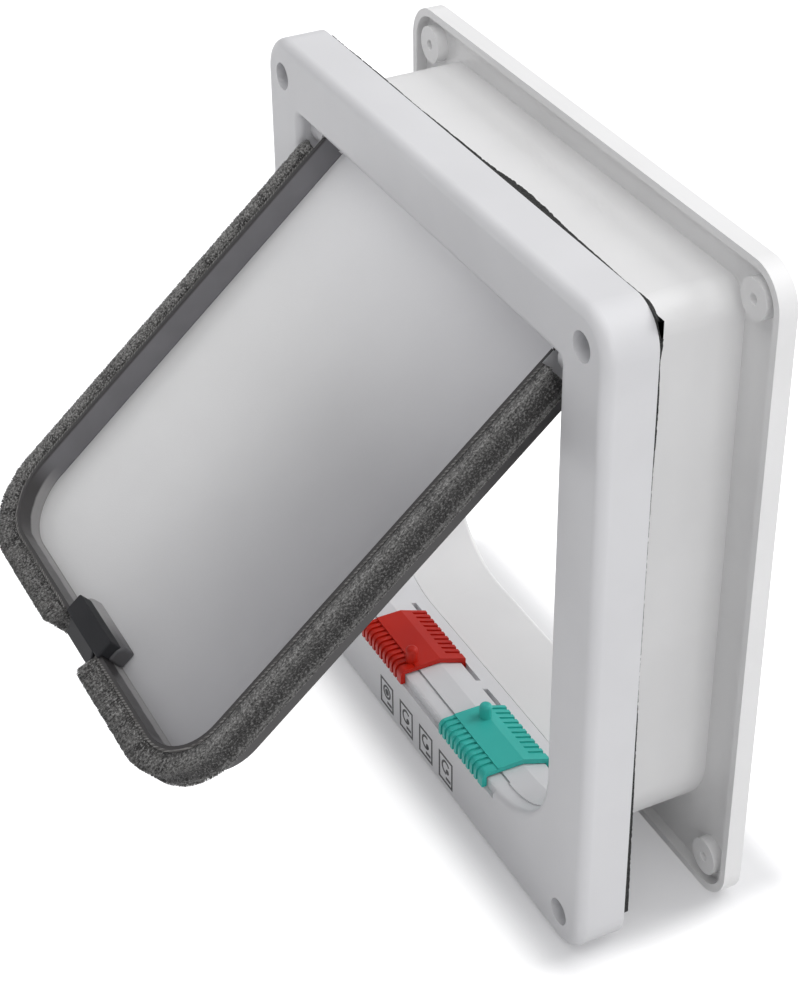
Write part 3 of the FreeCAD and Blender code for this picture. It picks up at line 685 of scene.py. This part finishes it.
@dataclass(frozen=True)
class PaleFloor:
    """White floor that keeps a soft shadow and reads as plain white in the view; round the part's
    foot its glow is dimmed as a painted shadow.
    """

    name: str = "pale_floor"
    light: Colour = (0.63, 0.63, 0.635)
    dark: Colour = (0.60, 0.60, 0.605)
    # Painted shadow: the dimmer glow next to the part's foot.
    painted_shadow_glow: Colour = (0.20, 0.20, 0.205)
    far_glow: Colour = (0.75, 0.75, 0.75)
    foot_side: float = 0.089
    foot_middle: float = 0.0175
    foot_depth: float = 0.0325
    reach: float = 0.018

    def material(self) -> bpy.types.Material:
        """Build the material."""
        graph = Graph(bpy.data.materials.new(self.name))
        place = graph.place()
        tone = graph.mix(graph.grain(place, 3.0, 2.0), self.dark, self.light)
        matt = graph.node("ShaderNodeBsdfDiffuse", inputs={"Color": tone})
        across, depth, _ = graph.parts(place)
        # Painted shadow: the glow is dimmed inside a box round the foot and fades out over the
        # reach.
        beside = (abs(across) - self.foot_side).most(0.0)
        before = (abs(depth - self.foot_middle) - self.foot_depth).most(0.0)
        out_of_painted_shadow = (beside * beside + before * before).root().ease(0.0, self.reach)
        path = graph.node("ShaderNodeLightPath", output="Is Camera Ray")
        outputs = path.socket.node.outputs
        seen = path.most(Value(graph, outputs["Is Glossy Ray"]))
        seen = seen.most(Value(graph, outputs["Is Transmission Ray"]))
        colour = graph.mix(out_of_painted_shadow, self.painted_shadow_glow, self.far_glow)
        shown = graph.mix(seen, (0.0, 0.0, 0.0), colour)
        glow = graph.node("ShaderNodeEmission", inputs={"Color": shown})
        return graph.finish(graph.node("ShaderNodeAddShader", inputs={0: matt, 1: glow}))


# Pieces


def piece_from(
    shape: bmesh.types.BMesh,
    name: str,
    body: str,
    material: bpy.types.Material,
    smooth: bool = True,
) -> bpy.types.Object:
    """Turn a finished shape into a piece of the part.

    Args:
        shape: The shape, in the frame of the part; it is freed.
        name: The piece's name.
        body: The body that it moves with.
        material: Its material.
        smooth: Whether its faces are shaded smooth.

    Returns:
        The piece.
    """
    bmesh.ops.recalc_face_normals(shape, faces=shape.faces)
    mesh = bpy.data.meshes.new(name)
    shape.to_mesh(mesh)
    shape.free()
    mesh.polygons.foreach_set("use_smooth", [smooth] * len(mesh.polygons))
    mesh.materials.append(material)
    piece = bpy.data.objects.new(name, mesh)
    bpy.context.scene.collection.objects.link(piece)
    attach(piece, body)
    return piece


def add_block(shape: bmesh.types.BMesh, low: Vector, high: Vector) -> list[bmesh.types.BMVert]:
    """Add a closed block between two corners."""
    size = high - low
    place = Matrix.Translation((low + high) / 2) @ Matrix.Diagonal((*size, 1.0))
    return bmesh.ops.create_cube(shape, size=1.0, matrix=place)["verts"]


def round_edges(
    shape: bmesh.types.BMesh, edges: list[bmesh.types.BMEdge], radius: float, segments: int
) -> None:
    """Round some edges of a shape."""
    bmesh.ops.bevel(
        shape,
        geom=edges,
        offset=radius,
        segments=segments,
        profile=0.5,
        affect="EDGES",
        material=-1,
    )


def bell(place: float, middle: float, reach: float) -> float:
    """Give 1 at the middle of a stretch, falling softly to 0 on both sides."""
    return math.exp(-(((place - middle) / reach) ** 2))


def dress(frame: dict[str, Any], material: bpy.types.Material, *nodes: str) -> None:
    """Give CAD nodes a material in every slot."""
    for name in nodes:
        mesh = frame["nodes"][name].data
        for index in range(len(mesh.materials)):
            mesh.materials[index] = material
        if not mesh.materials:
            mesh.materials.append(material)


@dataclass
class Frames:
    """Both white mouldings, the pins and magnets that they hold, and the print."""

    # Painted shade and light: both mouldings are one white plastic, the front given a darker, bluish
    # shaded copy and the rear a lighter lit copy.
    front: MouldedPlastic = MouldedPlastic(
        "front_moulding_painted_shade", (0.70, 0.70, 0.715), (0.675, 0.675, 0.69), 0.36, 0.1
    )
    rear: MouldedPlastic = MouldedPlastic(
        "rear_moulding_painted_light", (0.84, 0.838, 0.838), (0.815, 0.813, 0.813), 0.36, 0.1
    )
    face: float = -14.5 * MM
    sign_low: float = -97.6 * MM
    sign_size: tuple[float, float] = (8.8 * MM, 10.3 * MM)
    sign_lefts: tuple[float, ...] = (-26.9 * MM, -13.6 * MM, -0.5 * MM, 12.5 * MM)
    line: float = 0.8 * MM
    ink_height: float = 0.06 * MM
    ring_radius: float = 1.75 * MM
    ring_steps: int = 24
    dot_segments: int = 20
    dot_closed: float = 1.2 * MM
    dot_open: float = 0.95 * MM
    dot_shift: float = 1.1 * MM

    def build(self, frame: dict[str, Any]) -> None:
        """Dress the CAD pieces and print the signs."""
        dress(frame, self.front.material(), "front_frame", "sill_magnet_cover")
        dress(frame, self.rear.material(), "rear_frame")
        dress(
            frame,
            DrawnMetal("drawn_steel", (0.62, 0.62, 0.63), 0.22).material(),
            "hinge_pin_left",
            "hinge_pin_right",
        )
        dress(
            frame,
            DrawnMetal("plated_magnet", (0.42, 0.42, 0.43), 0.3).material(),
            "sill_magnet",
            "flap_magnet",
        )
        ink = PrintedInk().material()
        for number, (left, sign) in enumerate(zip(self.sign_lefts, Sign), start=1):
            self.print_sign(f"printed_sign_{number}", left, sign, ink)

    def print_sign(
        self, name: str, left: float, sign: Sign, ink: bpy.types.Material
    ) -> bpy.types.Object:
        """Print one pictogram: a frame, a round mark in it and a bar below the mark."""
        shape = bmesh.new()
        width, height = self.sign_size
        low = self.sign_low
        line = self.line
        right = left + width
        high = low + height
        bars = [
            (left, right, low, low + line),
            (left, right, high - line, high),
            (left, left + line, low + line, high - line),
            (right - line, right, low + line, high - line),
            (left + 0.52 * width, right - 1.6 * line, low + 2.2 * line, low + 3.4 * line),
        ]
        for start, end, foot, top in bars:
            self.add_ink(shape, start, end, foot, top)
        centre = (left + 0.5 * width, low + 0.6 * height)
        self.add_round_mark(shape, centre, sign)
        return piece_from(shape, name, "frames", ink, False)

    def add_ink(
        self, shape: bmesh.types.BMesh, start: float, end: float, foot: float, top: float
    ) -> None:
        """Add one printed bar on the front face."""
        low = Vector((start, self.face - self.ink_height, foot))
        add_block(shape, low, Vector((end, self.face, top)))

    def add_round_mark(
        self, shape: bmesh.types.BMesh, centre: tuple[float, float], sign: Sign
    ) -> None:
        """Add the ring, open where the flap may pass, and its pointer."""
        inner = self.ring_radius
        outer = self.ring_radius + self.line
        top = self.face - self.ink_height
        start, end = (math.radians(angle) for angle in sign.arc)
        middle = Vector((centre[0], 0.0, centre[1]))
        spoke = Vector((math.cos(start), 0.0, math.sin(start)))
        profile = [
            shape.verts.new(middle + spoke * radius + Vector((0, depth, 0)))
            for radius, depth in ((inner, self.face), (outer, self.face), (outer, top), (inner, top))
        ]
        face = shape.faces.new(profile)
        full = sign is Sign.CLOSED
        bmesh.ops.spin(
            shape,
            geom=[face] if not full else list(face.edges) + profile,
            cent=middle,
            axis=(0.0, -1.0, 0.0),
            angle=end - start,
            steps=self.ring_steps,
            use_merge=full,
        )
        if full:
            shape.faces.remove(face)
        dot = self.dot_closed if full else self.dot_open
        shift = 0.0 if full else self.dot_shift
        spot = Matrix.Translation(
            (centre[0] + shift, self.face - self.ink_height / 2, centre[1] - shift)
        ) @ Matrix.Rotation(math.pi / 2, 4, "X")
        bmesh.ops.create_cone(
            shape,
            cap_ends=True,
            segments=self.dot_segments,
            radius1=dot,
            radius2=dot,
            depth=self.ink_height,
            matrix=spot,
        )


@dataclass
class FoamSeals:
    """Hand-cut black foam strips between the front frame and the door."""

    half_width: float = 94.0 * MM
    half_height: float = 101.0 * MM
    short_width: float = 83.0 * MM
    short_height: float = 89.8 * MM
    width: float = 7.0 * MM
    thickness: float = 2.0 * MM
    joint: float = 0.4 * MM
    ragged: float = 0.25 * MM
    long_cuts: int = 220
    cross_cuts: int = 2
    loose_middle: float = 27.0 * MM
    loose_reach: float = 26.0 * MM
    swell_reach: float = 20.0 * MM
    swell_height: float = 0.55 * MM
    pressed_top: float = 0.36
    pressed_side: float = 0.58
    pressed_slope: float = 6.2
    frame_corner: float = 8.5 * MM

    def spans(self, edge: Edge) -> tuple[Vector, Vector]:
        """Give the corners of one strip."""
        side = self.half_width
        high = self.half_height
        width = self.width
        lines = {
            Edge.TOP: (-self.short_width, side, high - width, high),
            Edge.BOTTOM: (-self.short_width, self.short_width, -high, width - high),
            Edge.LEFT: (-side, width - side, -self.short_height, self.short_height),
            Edge.RIGHT: (side - width, side, -self.short_height, high - width - self.joint),
        }
        left, right, low, top = lines[edge]
        return Vector((left, 0.0, low)), Vector((right, self.thickness, top))

    def build(self) -> None:
        """Make the four strips in place of the plain CAD ones."""
        foam = ClosedFoam().material()
        for edge in Edge:
            low, high = self.spans(edge)
            self.make_strip(edge, low, high, foam)

    def make_strip(
        self, edge: Edge, low: Vector, high: Vector, foam: bpy.types.Material
    ) -> bpy.types.Object:
        """Make one strip, its outer edge and back uneven."""
        shape = bmesh.new()
        add_block(shape, low, high)
        run = 0 if edge in (Edge.TOP, Edge.BOTTOM) else 2
        long_edges = [
            item for item in shape.edges
            if abs((item.verts[0].co - item.verts[1].co)[run]) > 0.05
        ]
        bmesh.ops.subdivide_edges(
            shape, edges=long_edges, cuts=self.long_cuts, use_grid_fill=True
        )
        cross = [
            item for item in shape.edges
            if abs((item.verts[0].co - item.verts[1].co)[run]) < 1e-6
        ]
        bmesh.ops.subdivide_edges(shape, edges=cross, cuts=self.cross_cuts, use_grid_fill=True)
        outward = 2 if run == 0 else 0
        sign = 1 if edge in (Edge.TOP, Edge.RIGHT) else -1
        seed = 10.0 * list(Edge).index(edge)
        for vert in shape.verts:
            self.ruffle(vert, run, outward, sign, seed)
        name = f"foam_strip_{edge.value}"
        strip = piece_from(shape, name, "frames", foam, False)
        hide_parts(f"gasket_{edge.value}")
        return strip

    def ruffle(
        self, vert: bmesh.types.BMVert, run: int, outward: int, sign: int, seed: float
    ) -> None:
        """Shift one point of a strip."""
        place = vert.co[run]
        coarse = noise.noise(Vector((place * 45.0, seed, 0.0)))
        fine = noise.noise(Vector((place * 900.0, seed, vert.co.y * 400.0)))
        share = vert.co.y / self.thickness
        squeeze = self.squeeze(place, outward)
        vert.co.y -= share * self.thickness * (squeeze + 0.10 * coarse + 0.08 * fine)
        swell = self.swell(place, outward)
        vert.co.y += share * swell
        outer = (self.half_height if outward == 2 else self.half_width) - 1e-6
        if vert.co[outward] * sign > outer:
            vert.co[outward] += sign * swell
            ragged = self.ragged + 0.6 * swell
            trim = ragged * (0.2 + 1.4 * abs(fine) + 1.2 * max(0.0, coarse))
            trim += self.corner_cut(place, outward)
            vert.co[outward] -= sign * trim * (0.5 + 0.5 * share)

    def squeeze(self, place: float, outward: int) -> float:
        """Give how much of the foam's thickness is pressed flat at a place along a strip."""
        if outward == 2:
            return self.pressed_top * (1.0 - bell(place, self.loose_middle, self.loose_reach))
        if place < 0.0:
            return self.pressed_side + self.pressed_slope * place
        loose = 0.2 * bell(place, 70.0 * MM, 16.0 * MM)
        corner = 0.4 * bell(place, 93.4 * MM, 4.0 * MM)
        return self.pressed_side - max(loose, corner)

    def swell(self, place: float, outward: int) -> float:
        """Give how far the top strip's loose stretch bulges out and back."""
        if outward != 2:
            return 0.0
        return self.swell_height * bell(place, self.loose_middle, self.swell_reach)

    def corner_cut(self, place: float, outward: int) -> float:
        """Give how far the top strip's outer edge moves in round the frame's corner."""
        radius = self.frame_corner
        beyond = place - (self.half_width - radius)
        if outward != 2 or beyond <= 0.0:
            return 0.0
        return radius - math.sqrt(max(0.0, radius**2 - min(beyond, radius) ** 2))


@dataclass
class BrushStrip:
    """One brush strip: its pile stands on the tape round half of the rim."""

    side: Side
    root_side: float = 66.35 * MM
    root_foot: float = 144.6 * MM
    corner: float = 17.7 * MM
    top: float = 7.0 * MM
    half_gap: float = 12.0 * MM
    back: float = 0.0
    front: float = 9.4 * MM
    tape: float = 8.0 * MM
    reach_side: float = 5.0 * MM
    reach_foot: float = 6.9 * MM
    core_part: float = 0.93
    core_steps: int = 300
    core_profile: tuple[tuple[float, float], ...] = (
        (0.0, 0.3 * MM),
        (0.6, 0.2 * MM),
        (0.92, 0.4 * MM),
        (1.0, 1.3 * MM),
        (1.0, 3.2 * MM),
        (1.0, 6.2 * MM),
        (1.0, 8.1 * MM),
        (0.92, 8.95 * MM),
        (0.6, 8.6 * MM),
        (0.3, 8.25 * MM),
        (0.0, 7.8 * MM),
    )
    round_top: float = 1.6 * MM
    round_foot_left: float = 2.6 * MM
    round_foot_right: float = 1.2 * MM
    end_height: float = 0.62
    splay: float = 0.2
    splay_reach: float = 2.0 * MM
    fibres: int = 21500
    fibre_radius: float = 0.11 * MM

    def path(self, place: float) -> tuple[float, float, float, float]:
        """Give a point at the foot of the pile.

        Args:
            place: Distance along the strip from its top.

        Returns:
            Across and down of the point, then across and down of the way out of it.
        """
        straight = self.root_foot - self.corner - self.top
        bend = self.corner * math.pi / 2
        side = self.side.value
        if place <= straight:
            return side * self.root_side, self.top + place, float(side), 0.0
        if place <= straight + bend:
            angle = (place - straight) / self.corner
            across = self.root_side - self.corner + self.corner * math.cos(angle)
            down = self.root_foot - self.corner + self.corner * math.sin(angle)
            return side * across, down, side * math.cos(angle), math.sin(angle)
        beyond = place - straight - bend
        return side * (self.root_side - self.corner - beyond), self.root_foot, 0.0, 1.0

    @property
    def length(self) -> float:
        """Give the strip's length along the foot of the pile."""
        straight = self.root_foot - self.corner - self.top
        foot = self.root_side - self.corner - self.half_gap
        return straight + self.corner * math.pi / 2 + foot

    def reach_at(self, place: float) -> float:
        """Give the pile's height, which grows towards the flap's foot and waves a little."""
        straight = self.root_foot - self.corner - self.top
        share = min(1.0, max(0.0, (place - straight) / (self.corner * math.pi / 2)))
        more = (self.reach_foot - self.reach_side) * math.sin(share * math.pi / 2)
        wave = 0.5 + 0.5 * noise.noise(Vector((place * 330.0, self.side.value, 0.0)))
        height = (self.reach_side + more) * (1.0 - 0.05 * wave)
        return height * self.rounding(place)

    def rounding(self, place: float) -> float:
        """Give how far the pile is rounded down at the strip's two ends."""
        foot = self.round_foot_left if self.side is Side.LEFT else self.round_foot_right
        part = 1.0
        for end, radius in ((place, self.round_top), (self.length - place, foot)):
            if end < radius:
                arc = math.sqrt(1.0 - (1.0 - end / radius) ** 2)
                part = min(part, self.end_height + (1.0 - self.end_height) * arc)
        return part

    def build(self, finish: BrushPile) -> bpy.types.Object:
        """Make the pile in place of the plain CAD one."""
        name = f"brush_pile_{self.side.name.lower()}"
        material = finish.material()
        piece = self.make_fibres(name, material)
        core = self.make_core(f"{name}_roots", material)
        node = f"pile_{self.side.name.lower()}"
        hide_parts(node)
        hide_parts(node)
        return piece

    def make_core(self, name: str, material: bpy.types.Material) -> bpy.types.Object:
        """Make the dense bundle that the outer fibres stand in."""
        steps = self.core_steps
        shape = bmesh.new()
        loops = []
        runs, reaches, rows = [], [], []
        for number in range(steps + 1):
            run = self.length * number / steps
            across, down, way_across, way_down = self.path(run)
            reach = self.reach_at(run) * self.core_part
            ring = []
            for share, above in self.core_profile:
                part = reach * share
                ring.append(shape.verts.new(
                    FLAP.point(across + way_across * part, down + way_down * part, above)
                ))
                runs.append(run)
                reaches.append(share)
                rows.append(self.row_tone(2.0 * above / self.front - 1.0))
            loops.append([shape.edges.new((ring[i - 1], ring[i])) for i in range(len(ring))])
            if number in (0, steps):
                shape.faces.new(ring)
        for first, second in zip(loops, loops[1:]):
            bmesh.ops.bridge_loops(shape, edges=first + second)
        core = piece_from(shape, name, "flap", material)
        self.set_points(core, "fibre_run", np.array(runs))
        self.set_points(core, "fibre_reach", np.array(reaches))
        self.set_points(core, "fibre_tone", np.full(len(runs), 0.5))
        self.set_points(core, "fibre_row", np.array(rows))
        return core

    @staticmethod
    def row_tone(share: float) -> float:
        """Give how deep a row lies between the strip's back and front, from 0 to 1; the pile's
        material paints shade over the deeper rows.
        """
        return 1.0 - min(1.0, abs(share + 0.08)) ** 3

    @staticmethod
    def set_points(piece: bpy.types.Object, name: str, values: np.ndarray) -> None:
        """Keep a number on every point of a piece."""
        attribute = piece.data.attributes.new(name, "FLOAT", "POINT")
        attribute.data.foreach_set("value", values.astype(np.float32))

    def make_fibres(self, name: str, material: bpy.types.Material) -> bpy.types.Object:
        """Make every fibre from one small cone."""
        shape = bmesh.new()
        bmesh.ops.create_cone(
            shape,
            cap_ends=True,
            cap_tris=False,
            segments=3,
            radius1=1.0,
            radius2=0.55,
            depth=1.0,
            matrix=Matrix.Translation((0.0, 0.0, 0.5)),
        )
        piece = piece_from(shape, name, "flap", material)
        modifier = piece.modifiers.new("every_fibre", "ARRAY")
        modifier.use_relative_offset = False
        modifier.count = self.fibres
        mesh = bpy.data.meshes.new_from_object(
            piece.evaluated_get(bpy.context.evaluated_depsgraph_get())
        )
        piece.modifiers.clear()
        old = piece.data
        piece.data = mesh
        bpy.data.meshes.remove(old)
        mesh.name = name
        self.spread(piece)
        return piece

    def spread(self, piece: bpy.types.Object) -> None:
        """Stand the fibres on the tape, each with its own height, lean and tone."""
        draw = random.Random(17 + self.side.value)
        mesh = piece.data
        points = np.zeros(len(mesh.vertices) * 3)
        mesh.vertices.foreach_get("co", points)
        points = points.reshape(self.fibres, -1, 3)
        template = points[0].copy()
        tones = np.zeros(points.shape[:2])
        rows = np.zeros(points.shape[:2])
        runs = np.zeros(points.shape[:2])
        reaches = np.zeros(points.shape[:2])
        turn = np.array(FLAP.turn())
        layers = (Layer.TIPS, Layer.TIPS, Layer.TIPS, Layer.FRONT, Layer.FRONT, Layer.BACK)
        for number in range(self.fibres):
            layer = layers[number % len(layers)]
            run = draw.random() * self.length
            share, start = layer.draw(draw)
            axes, root, reach = self.stand(draw, run, share, start)
            radius = self.fibre_radius * draw.uniform(0.8, 1.15)
            spin = draw.uniform(0.0, 2.0 * math.pi)
            cosine, sine = math.cos(spin), math.sin(spin)
            flat = (template[:, :1] * cosine - template[:, 1:2] * sine) * axes[1]
            flat = flat + (template[:, :1] * sine + template[:, 1:2] * cosine) * axes[2]
            spot = root + flat * radius + template[:, 2:3] * axes[0] * reach
            spot[:, 2] = np.clip(spot[:, 2], self.back, self.front)
            points[number] = spot @ turn[:3, :3].T + turn[:3, 3]
            tones[number] = draw.random()
            rows[number] = self.row_tone(share)
            runs[number] = run
            reaches[number] = start + (1.0 - start) * template[:, 2]
        mesh.vertices.foreach_set("co", points.reshape(-1))
        mesh.update()
        for name, values in (
            ("fibre_reach", reaches),
            ("fibre_tone", tones),
            ("fibre_row", rows),
            ("fibre_run", runs),
        ):
            self.set_points(piece, name, values.reshape(-1))

    def stand(
        self, draw: random.Random, run: float, share: float, start: float
    ) -> tuple[tuple[np.ndarray, np.ndarray, np.ndarray], np.ndarray, float]:
        """Choose how one fibre stands.

        Args:
            draw: The strip's own random numbers.
            run: Distance along the strip.
            share: Row across the strip, from -1 at the back to 1 at the front.
            start: The part of the pile's height at which the fibre comes out.

        Returns:
            The fibre's axis and two ways across it, its root and its length.
        """
        across, down, way_across, way_down = self.path(run)
        full = self.reach_at(run)
        reach = full * (draw.uniform(0.95, 1.0) - start)
        way = np.array((way_across, way_down, 0.0))
        onward = np.array((-way_down, way_across, 0.0)) * self.side.value
        lift = np.array((0.0, 0.0, 1.0))
        fan = (0.2 if share > 0.0 else 0.03) * abs(share) ** 3
        lean = onward * draw.gauss(0.0, 0.06) + lift * (fan + draw.gauss(0.0, 0.02))
        for end, sign in ((run, -1.0), (self.length - run, 1.0)):
            if end < self.splay_reach:
                lean = lean + onward * sign * self.splay * (1.0 - end / self.splay_reach)
        axis = way + lean
        axis = axis / np.linalg.norm(axis)
        first = np.cross(axis, lift)
        first = first / np.linalg.norm(first)
        above = self.tape / 2 * (1.0 + 0.95 * share) + fan * full * start
        root = np.array((across, down, above)) + way * (full * start)
        return (axis, first, np.cross(axis, first)), root, reach


@dataclass
class MagnetHolder:
    """Clip over the foot of the rim, its tongue, and the barrel with the flap's magnet."""

    clip: MouldedPlastic = MouldedPlastic(
        "clip_plastic",
        (0.017, 0.0175, 0.020),
        (0.028, 0.028, 0.031),
        0.62,
        0.3,
        1800.0,
        specular=0.25,
    )
    clip_span: tuple[float, float] = (-9.3 * MM, 14.2 * MM)
    tongue_span: tuple[float, float] = (-6.0 * MM, 11.4 * MM)
    barrel_span: tuple[float, float] = (-10.6 * MM, 14.8 * MM)
    pane_foot: float = 142.9 * MM
    rim_foot: float = 143.9 * MM
    rim_front: float = 8.0 * MM
    clip_top: float = 9.1 * MM
    clip_high: float = 138.1 * MM
    clip_low: float = 2.9 * MM
    tongue_foot: float = 148.6 * MM
    tongue_front: float = 6.0 * MM
    tongue_back: float = 3.2 * MM
    barrel_high: float = 137.5 * MM
    barrel_top: float = 5.7 * MM
    barrel_round: float = 2.4 * MM
    softness: float = 0.5 * MM
    barrel_softness: float = 0.9 * MM

    def build(self) -> None:
        """Make both mouldings in place of the plain CAD one."""
        clip = bmesh.new()
        self.add_bar(clip, self.clip_span, [
            (self.rim_foot, self.clip_top),
            (self.rim_foot, self.rim_front),
            (self.pane_foot, self.rim_front),
            (self.pane_foot, self.clip_low),
            (self.clip_high, self.clip_low),
            (self.clip_high, self.clip_top),
        ])
        self.soften(clip, self.softness)
        tongue = bmesh.new()
        self.add_bar(tongue, self.tongue_span, [
            (self.pane_foot, self.clip_top),
            (self.rim_foot, self.clip_top),
            (self.tongue_foot, self.tongue_front),
            (self.tongue_foot, self.tongue_back),
            (self.rim_foot, self.tongue_back),
            (self.rim_foot, self.rim_front),
            (self.pane_foot, self.rim_front),
        ])
        self.soften(tongue, self.softness)
        barrel = bmesh.new()
        self.add_bar(barrel, self.barrel_span, [
            (self.pane_foot, 0.0),
            (self.barrel_high, 0.0),
            (self.barrel_high, self.barrel_top),
            (self.pane_foot, self.barrel_top),
        ])
        self.round_corner(barrel)
        self.soften(barrel, self.barrel_softness)
        charcoal = self.clip.material()
        smoky = BarrelPlastic().material()
        for name, shape, material in (
            ("holder_clip", clip, charcoal),
            ("holder_tongue", tongue, charcoal),
            ("holder_barrel", barrel, smoky),
        ):
            piece = piece_from(shape, name, "flap", material, False)
            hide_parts("magnet_holder")

    @staticmethod
    def add_bar(
        shape: bmesh.types.BMesh, span: tuple[float, float], profile: list[tuple[float, float]]
    ) -> None:
        """Add a bar along X.

        Args:
            shape: The shape that it goes into.
            span: Its left and right ends.
            profile: The corners of its section, as down and above.
        """
        start, end = span
        ring = [shape.verts.new(FLAP.point(start, down, above)) for down, above in profile]
        face = shape.faces.new(ring)
        grown = bmesh.ops.extrude_face_region(shape, geom=[face], use_keep_orig=True)["geom"]
        moved = [item for item in grown if isinstance(item, bmesh.types.BMVert)]
        bmesh.ops.translate(shape, verts=moved, vec=(end - start, 0.0, 0.0))
        bmesh.ops.recalc_face_normals(shape, faces=shape.faces)

    def round_corner(self, shape: bmesh.types.BMesh) -> None:
        """Round the barrel's long upper corner."""
        corner = FLAP.point(0.0, self.barrel_high, self.barrel_top)
        edges = [
            edge for edge in shape.edges
            if all((vert.co - corner).yz.length < 0.01 * MM for vert in edge.verts)
        ]
        round_edges(shape, edges, self.barrel_round, 6)

    @staticmethod
    def soften(shape: bmesh.types.BMesh, radius: float) -> None:
        """Round every sharp edge."""
        edges = [edge for edge in shape.edges if edge.calc_face_angle(0.0) > math.radians(40.0)]
        round_edges(shape, edges, radius, 3)


@dataclass
class Flap:
    """The swinging flap: moulded panel, tapes, brush strips and magnet holder."""

    def build(self, frame: dict[str, Any]) -> None:
        """Dress the CAD pieces, make the holder and grow the pile."""
        dress(frame, SmokyPanel().material(), "flap_panel")
        dress(frame, WovenTape().material(), "pile_backing_left", "pile_backing_right")
        MagnetHolder().build()
        for side in Side:
            strip = BrushStrip(side)
            piece = strip.build(BrushPile())
            LOG.info("%s: %d fibres", piece.name, strip.fibres)


@dataclass
class Sliders:
    """The two ribbed locking sliders on the sill."""

    red: MouldedPlastic = MouldedPlastic(
        "red_moulding", (0.52, 0.014, 0.004), (0.46, 0.010, 0.003), 0.42, 0.15, specular=0.3
    )
    green: MouldedPlastic = MouldedPlastic(
        "green_moulding", (0.045, 0.50, 0.44), (0.035, 0.46, 0.40), 0.42, 0.15, specular=0.3
    )

    def build(self, frame: dict[str, Any]) -> None:
        """Dress both sliders."""
        dress(frame, self.red.material(), "red_slider")
        dress(frame, self.green.material(), "green_slider")


@dataclass(frozen=True)
class Lamp:
    """A soft square lamp that points at the part."""

    name: str
    place: tuple[float, float, float]
    size: float
    power: float

    def hang(self) -> None:
        """Hang the lamp."""
        lamp = bpy.data.lights.new(self.name, "AREA")
        lamp.shape = "SQUARE"
        lamp.size = self.size
        lamp.energy = self.power
        item = bpy.data.objects.new(self.name, lamp)
        item.location = self.place
        way = Vector((0, 0, 0)) - Vector(self.place)
        item.rotation_euler = way.to_track_quat("-Z", "Y").to_euler()
        bpy.context.scene.collection.objects.link(item)


@dataclass
class Studio:
    """Floor, soft lights and the camera."""

    lamps: tuple[Lamp, ...] = (
        Lamp("overhead", (0.0, -0.25, 1.5), 1.8, 10.6),
        Lamp("right_window", (1.4, -0.1, 0.5), 0.9, 5.4),
        Lamp("back_window", (0.2, 1.2, 0.9), 1.0, 10.5),
    )
    sky: Colour = (0.985, 0.985, 1.0)
    sky_strength: float = 0.46
    camera_place: Vector = field(default_factory=lambda: Vector((0.46584, -0.24951, 0.36086)))
    camera_forward: Vector = field(default_factory=lambda: Vector((-0.73710, 0.36287, -0.57010)))
    camera_up: Vector = field(default_factory=lambda: Vector((-0.50567, 0.26350, 0.82151)))
    lens: float = 82.75
    sensor: float = 36.0
    floor_half: float = 4.0

    def build(self) -> None:
        """Set the scene."""
        self.make_floor(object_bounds()[0][2])
        self.make_world()
        for lamp in self.lamps:
            lamp.hang()
        self.make_camera()
        bpy.context.scene.view_settings.view_transform = "Standard"

    def make_floor(self, height: float) -> None:
        """Lay the floor below the part."""
        shape = bmesh.new()
        place = Matrix.Translation((0.0, 0.0, height))
        bmesh.ops.create_grid(
            shape, x_segments=1, y_segments=1, size=self.floor_half, matrix=place
        )
        mesh = bpy.data.meshes.new("floor")
        shape.to_mesh(mesh)
        shape.free()
        mesh.materials.append(PaleFloor().material())
        floor = bpy.data.objects.new("floor", mesh)
        bpy.context.scene.collection.objects.link(floor)
        floor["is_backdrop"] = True

    def make_world(self) -> None:
        """Light everything softly from all round, plain white where the camera looks past."""
        graph = Graph(bpy.data.worlds.new("studio"))
        kind = "ShaderNodeBackground"
        soft = graph.node(kind, inputs={"Color": self.sky, "Strength": self.sky_strength})
        white = graph.node(kind, inputs={"Color": (1.0, 1.0, 1.0), "Strength": 1.0})
        seen = graph.node("ShaderNodeLightPath", output="Is Camera Ray")
        surface = graph.node("ShaderNodeMixShader", inputs={0: seen, 1: soft, 2: white})
        bpy.context.scene.world = graph.finish(surface)

    def make_camera(self) -> None:
        """Stand the camera where the photograph was taken from."""
        camera = bpy.data.cameras.new("camera")
        camera.lens = self.lens
        camera.sensor_width = self.sensor
        camera.sensor_fit = "AUTO"
        item = bpy.data.objects.new("camera", camera)
        back = -self.camera_forward.normalized()
        right = self.camera_up.cross(back).normalized()
        up = back.cross(right)
        turn = Matrix((right, up, back)).transposed().to_4x4()
        item.matrix_world = Matrix.Translation(self.camera_place) @ turn
        bpy.context.scene.collection.objects.link(item)
        bpy.context.scene.camera = item


def main() -> None:
    """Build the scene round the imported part."""
    logging.basicConfig(level=logging.INFO, format="%(name)s: %(message)s")
    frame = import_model()
    Frames().build(frame)
    LOG.info("frames dressed")
    FoamSeals().build()
    LOG.info("foam strips cut")
    Flap().build(frame)
    LOG.info("flap dressed")
    Sliders().build(frame)
    LOG.info("sliders dressed")
    Studio().build()


if __name__ == "__main__":
    main()
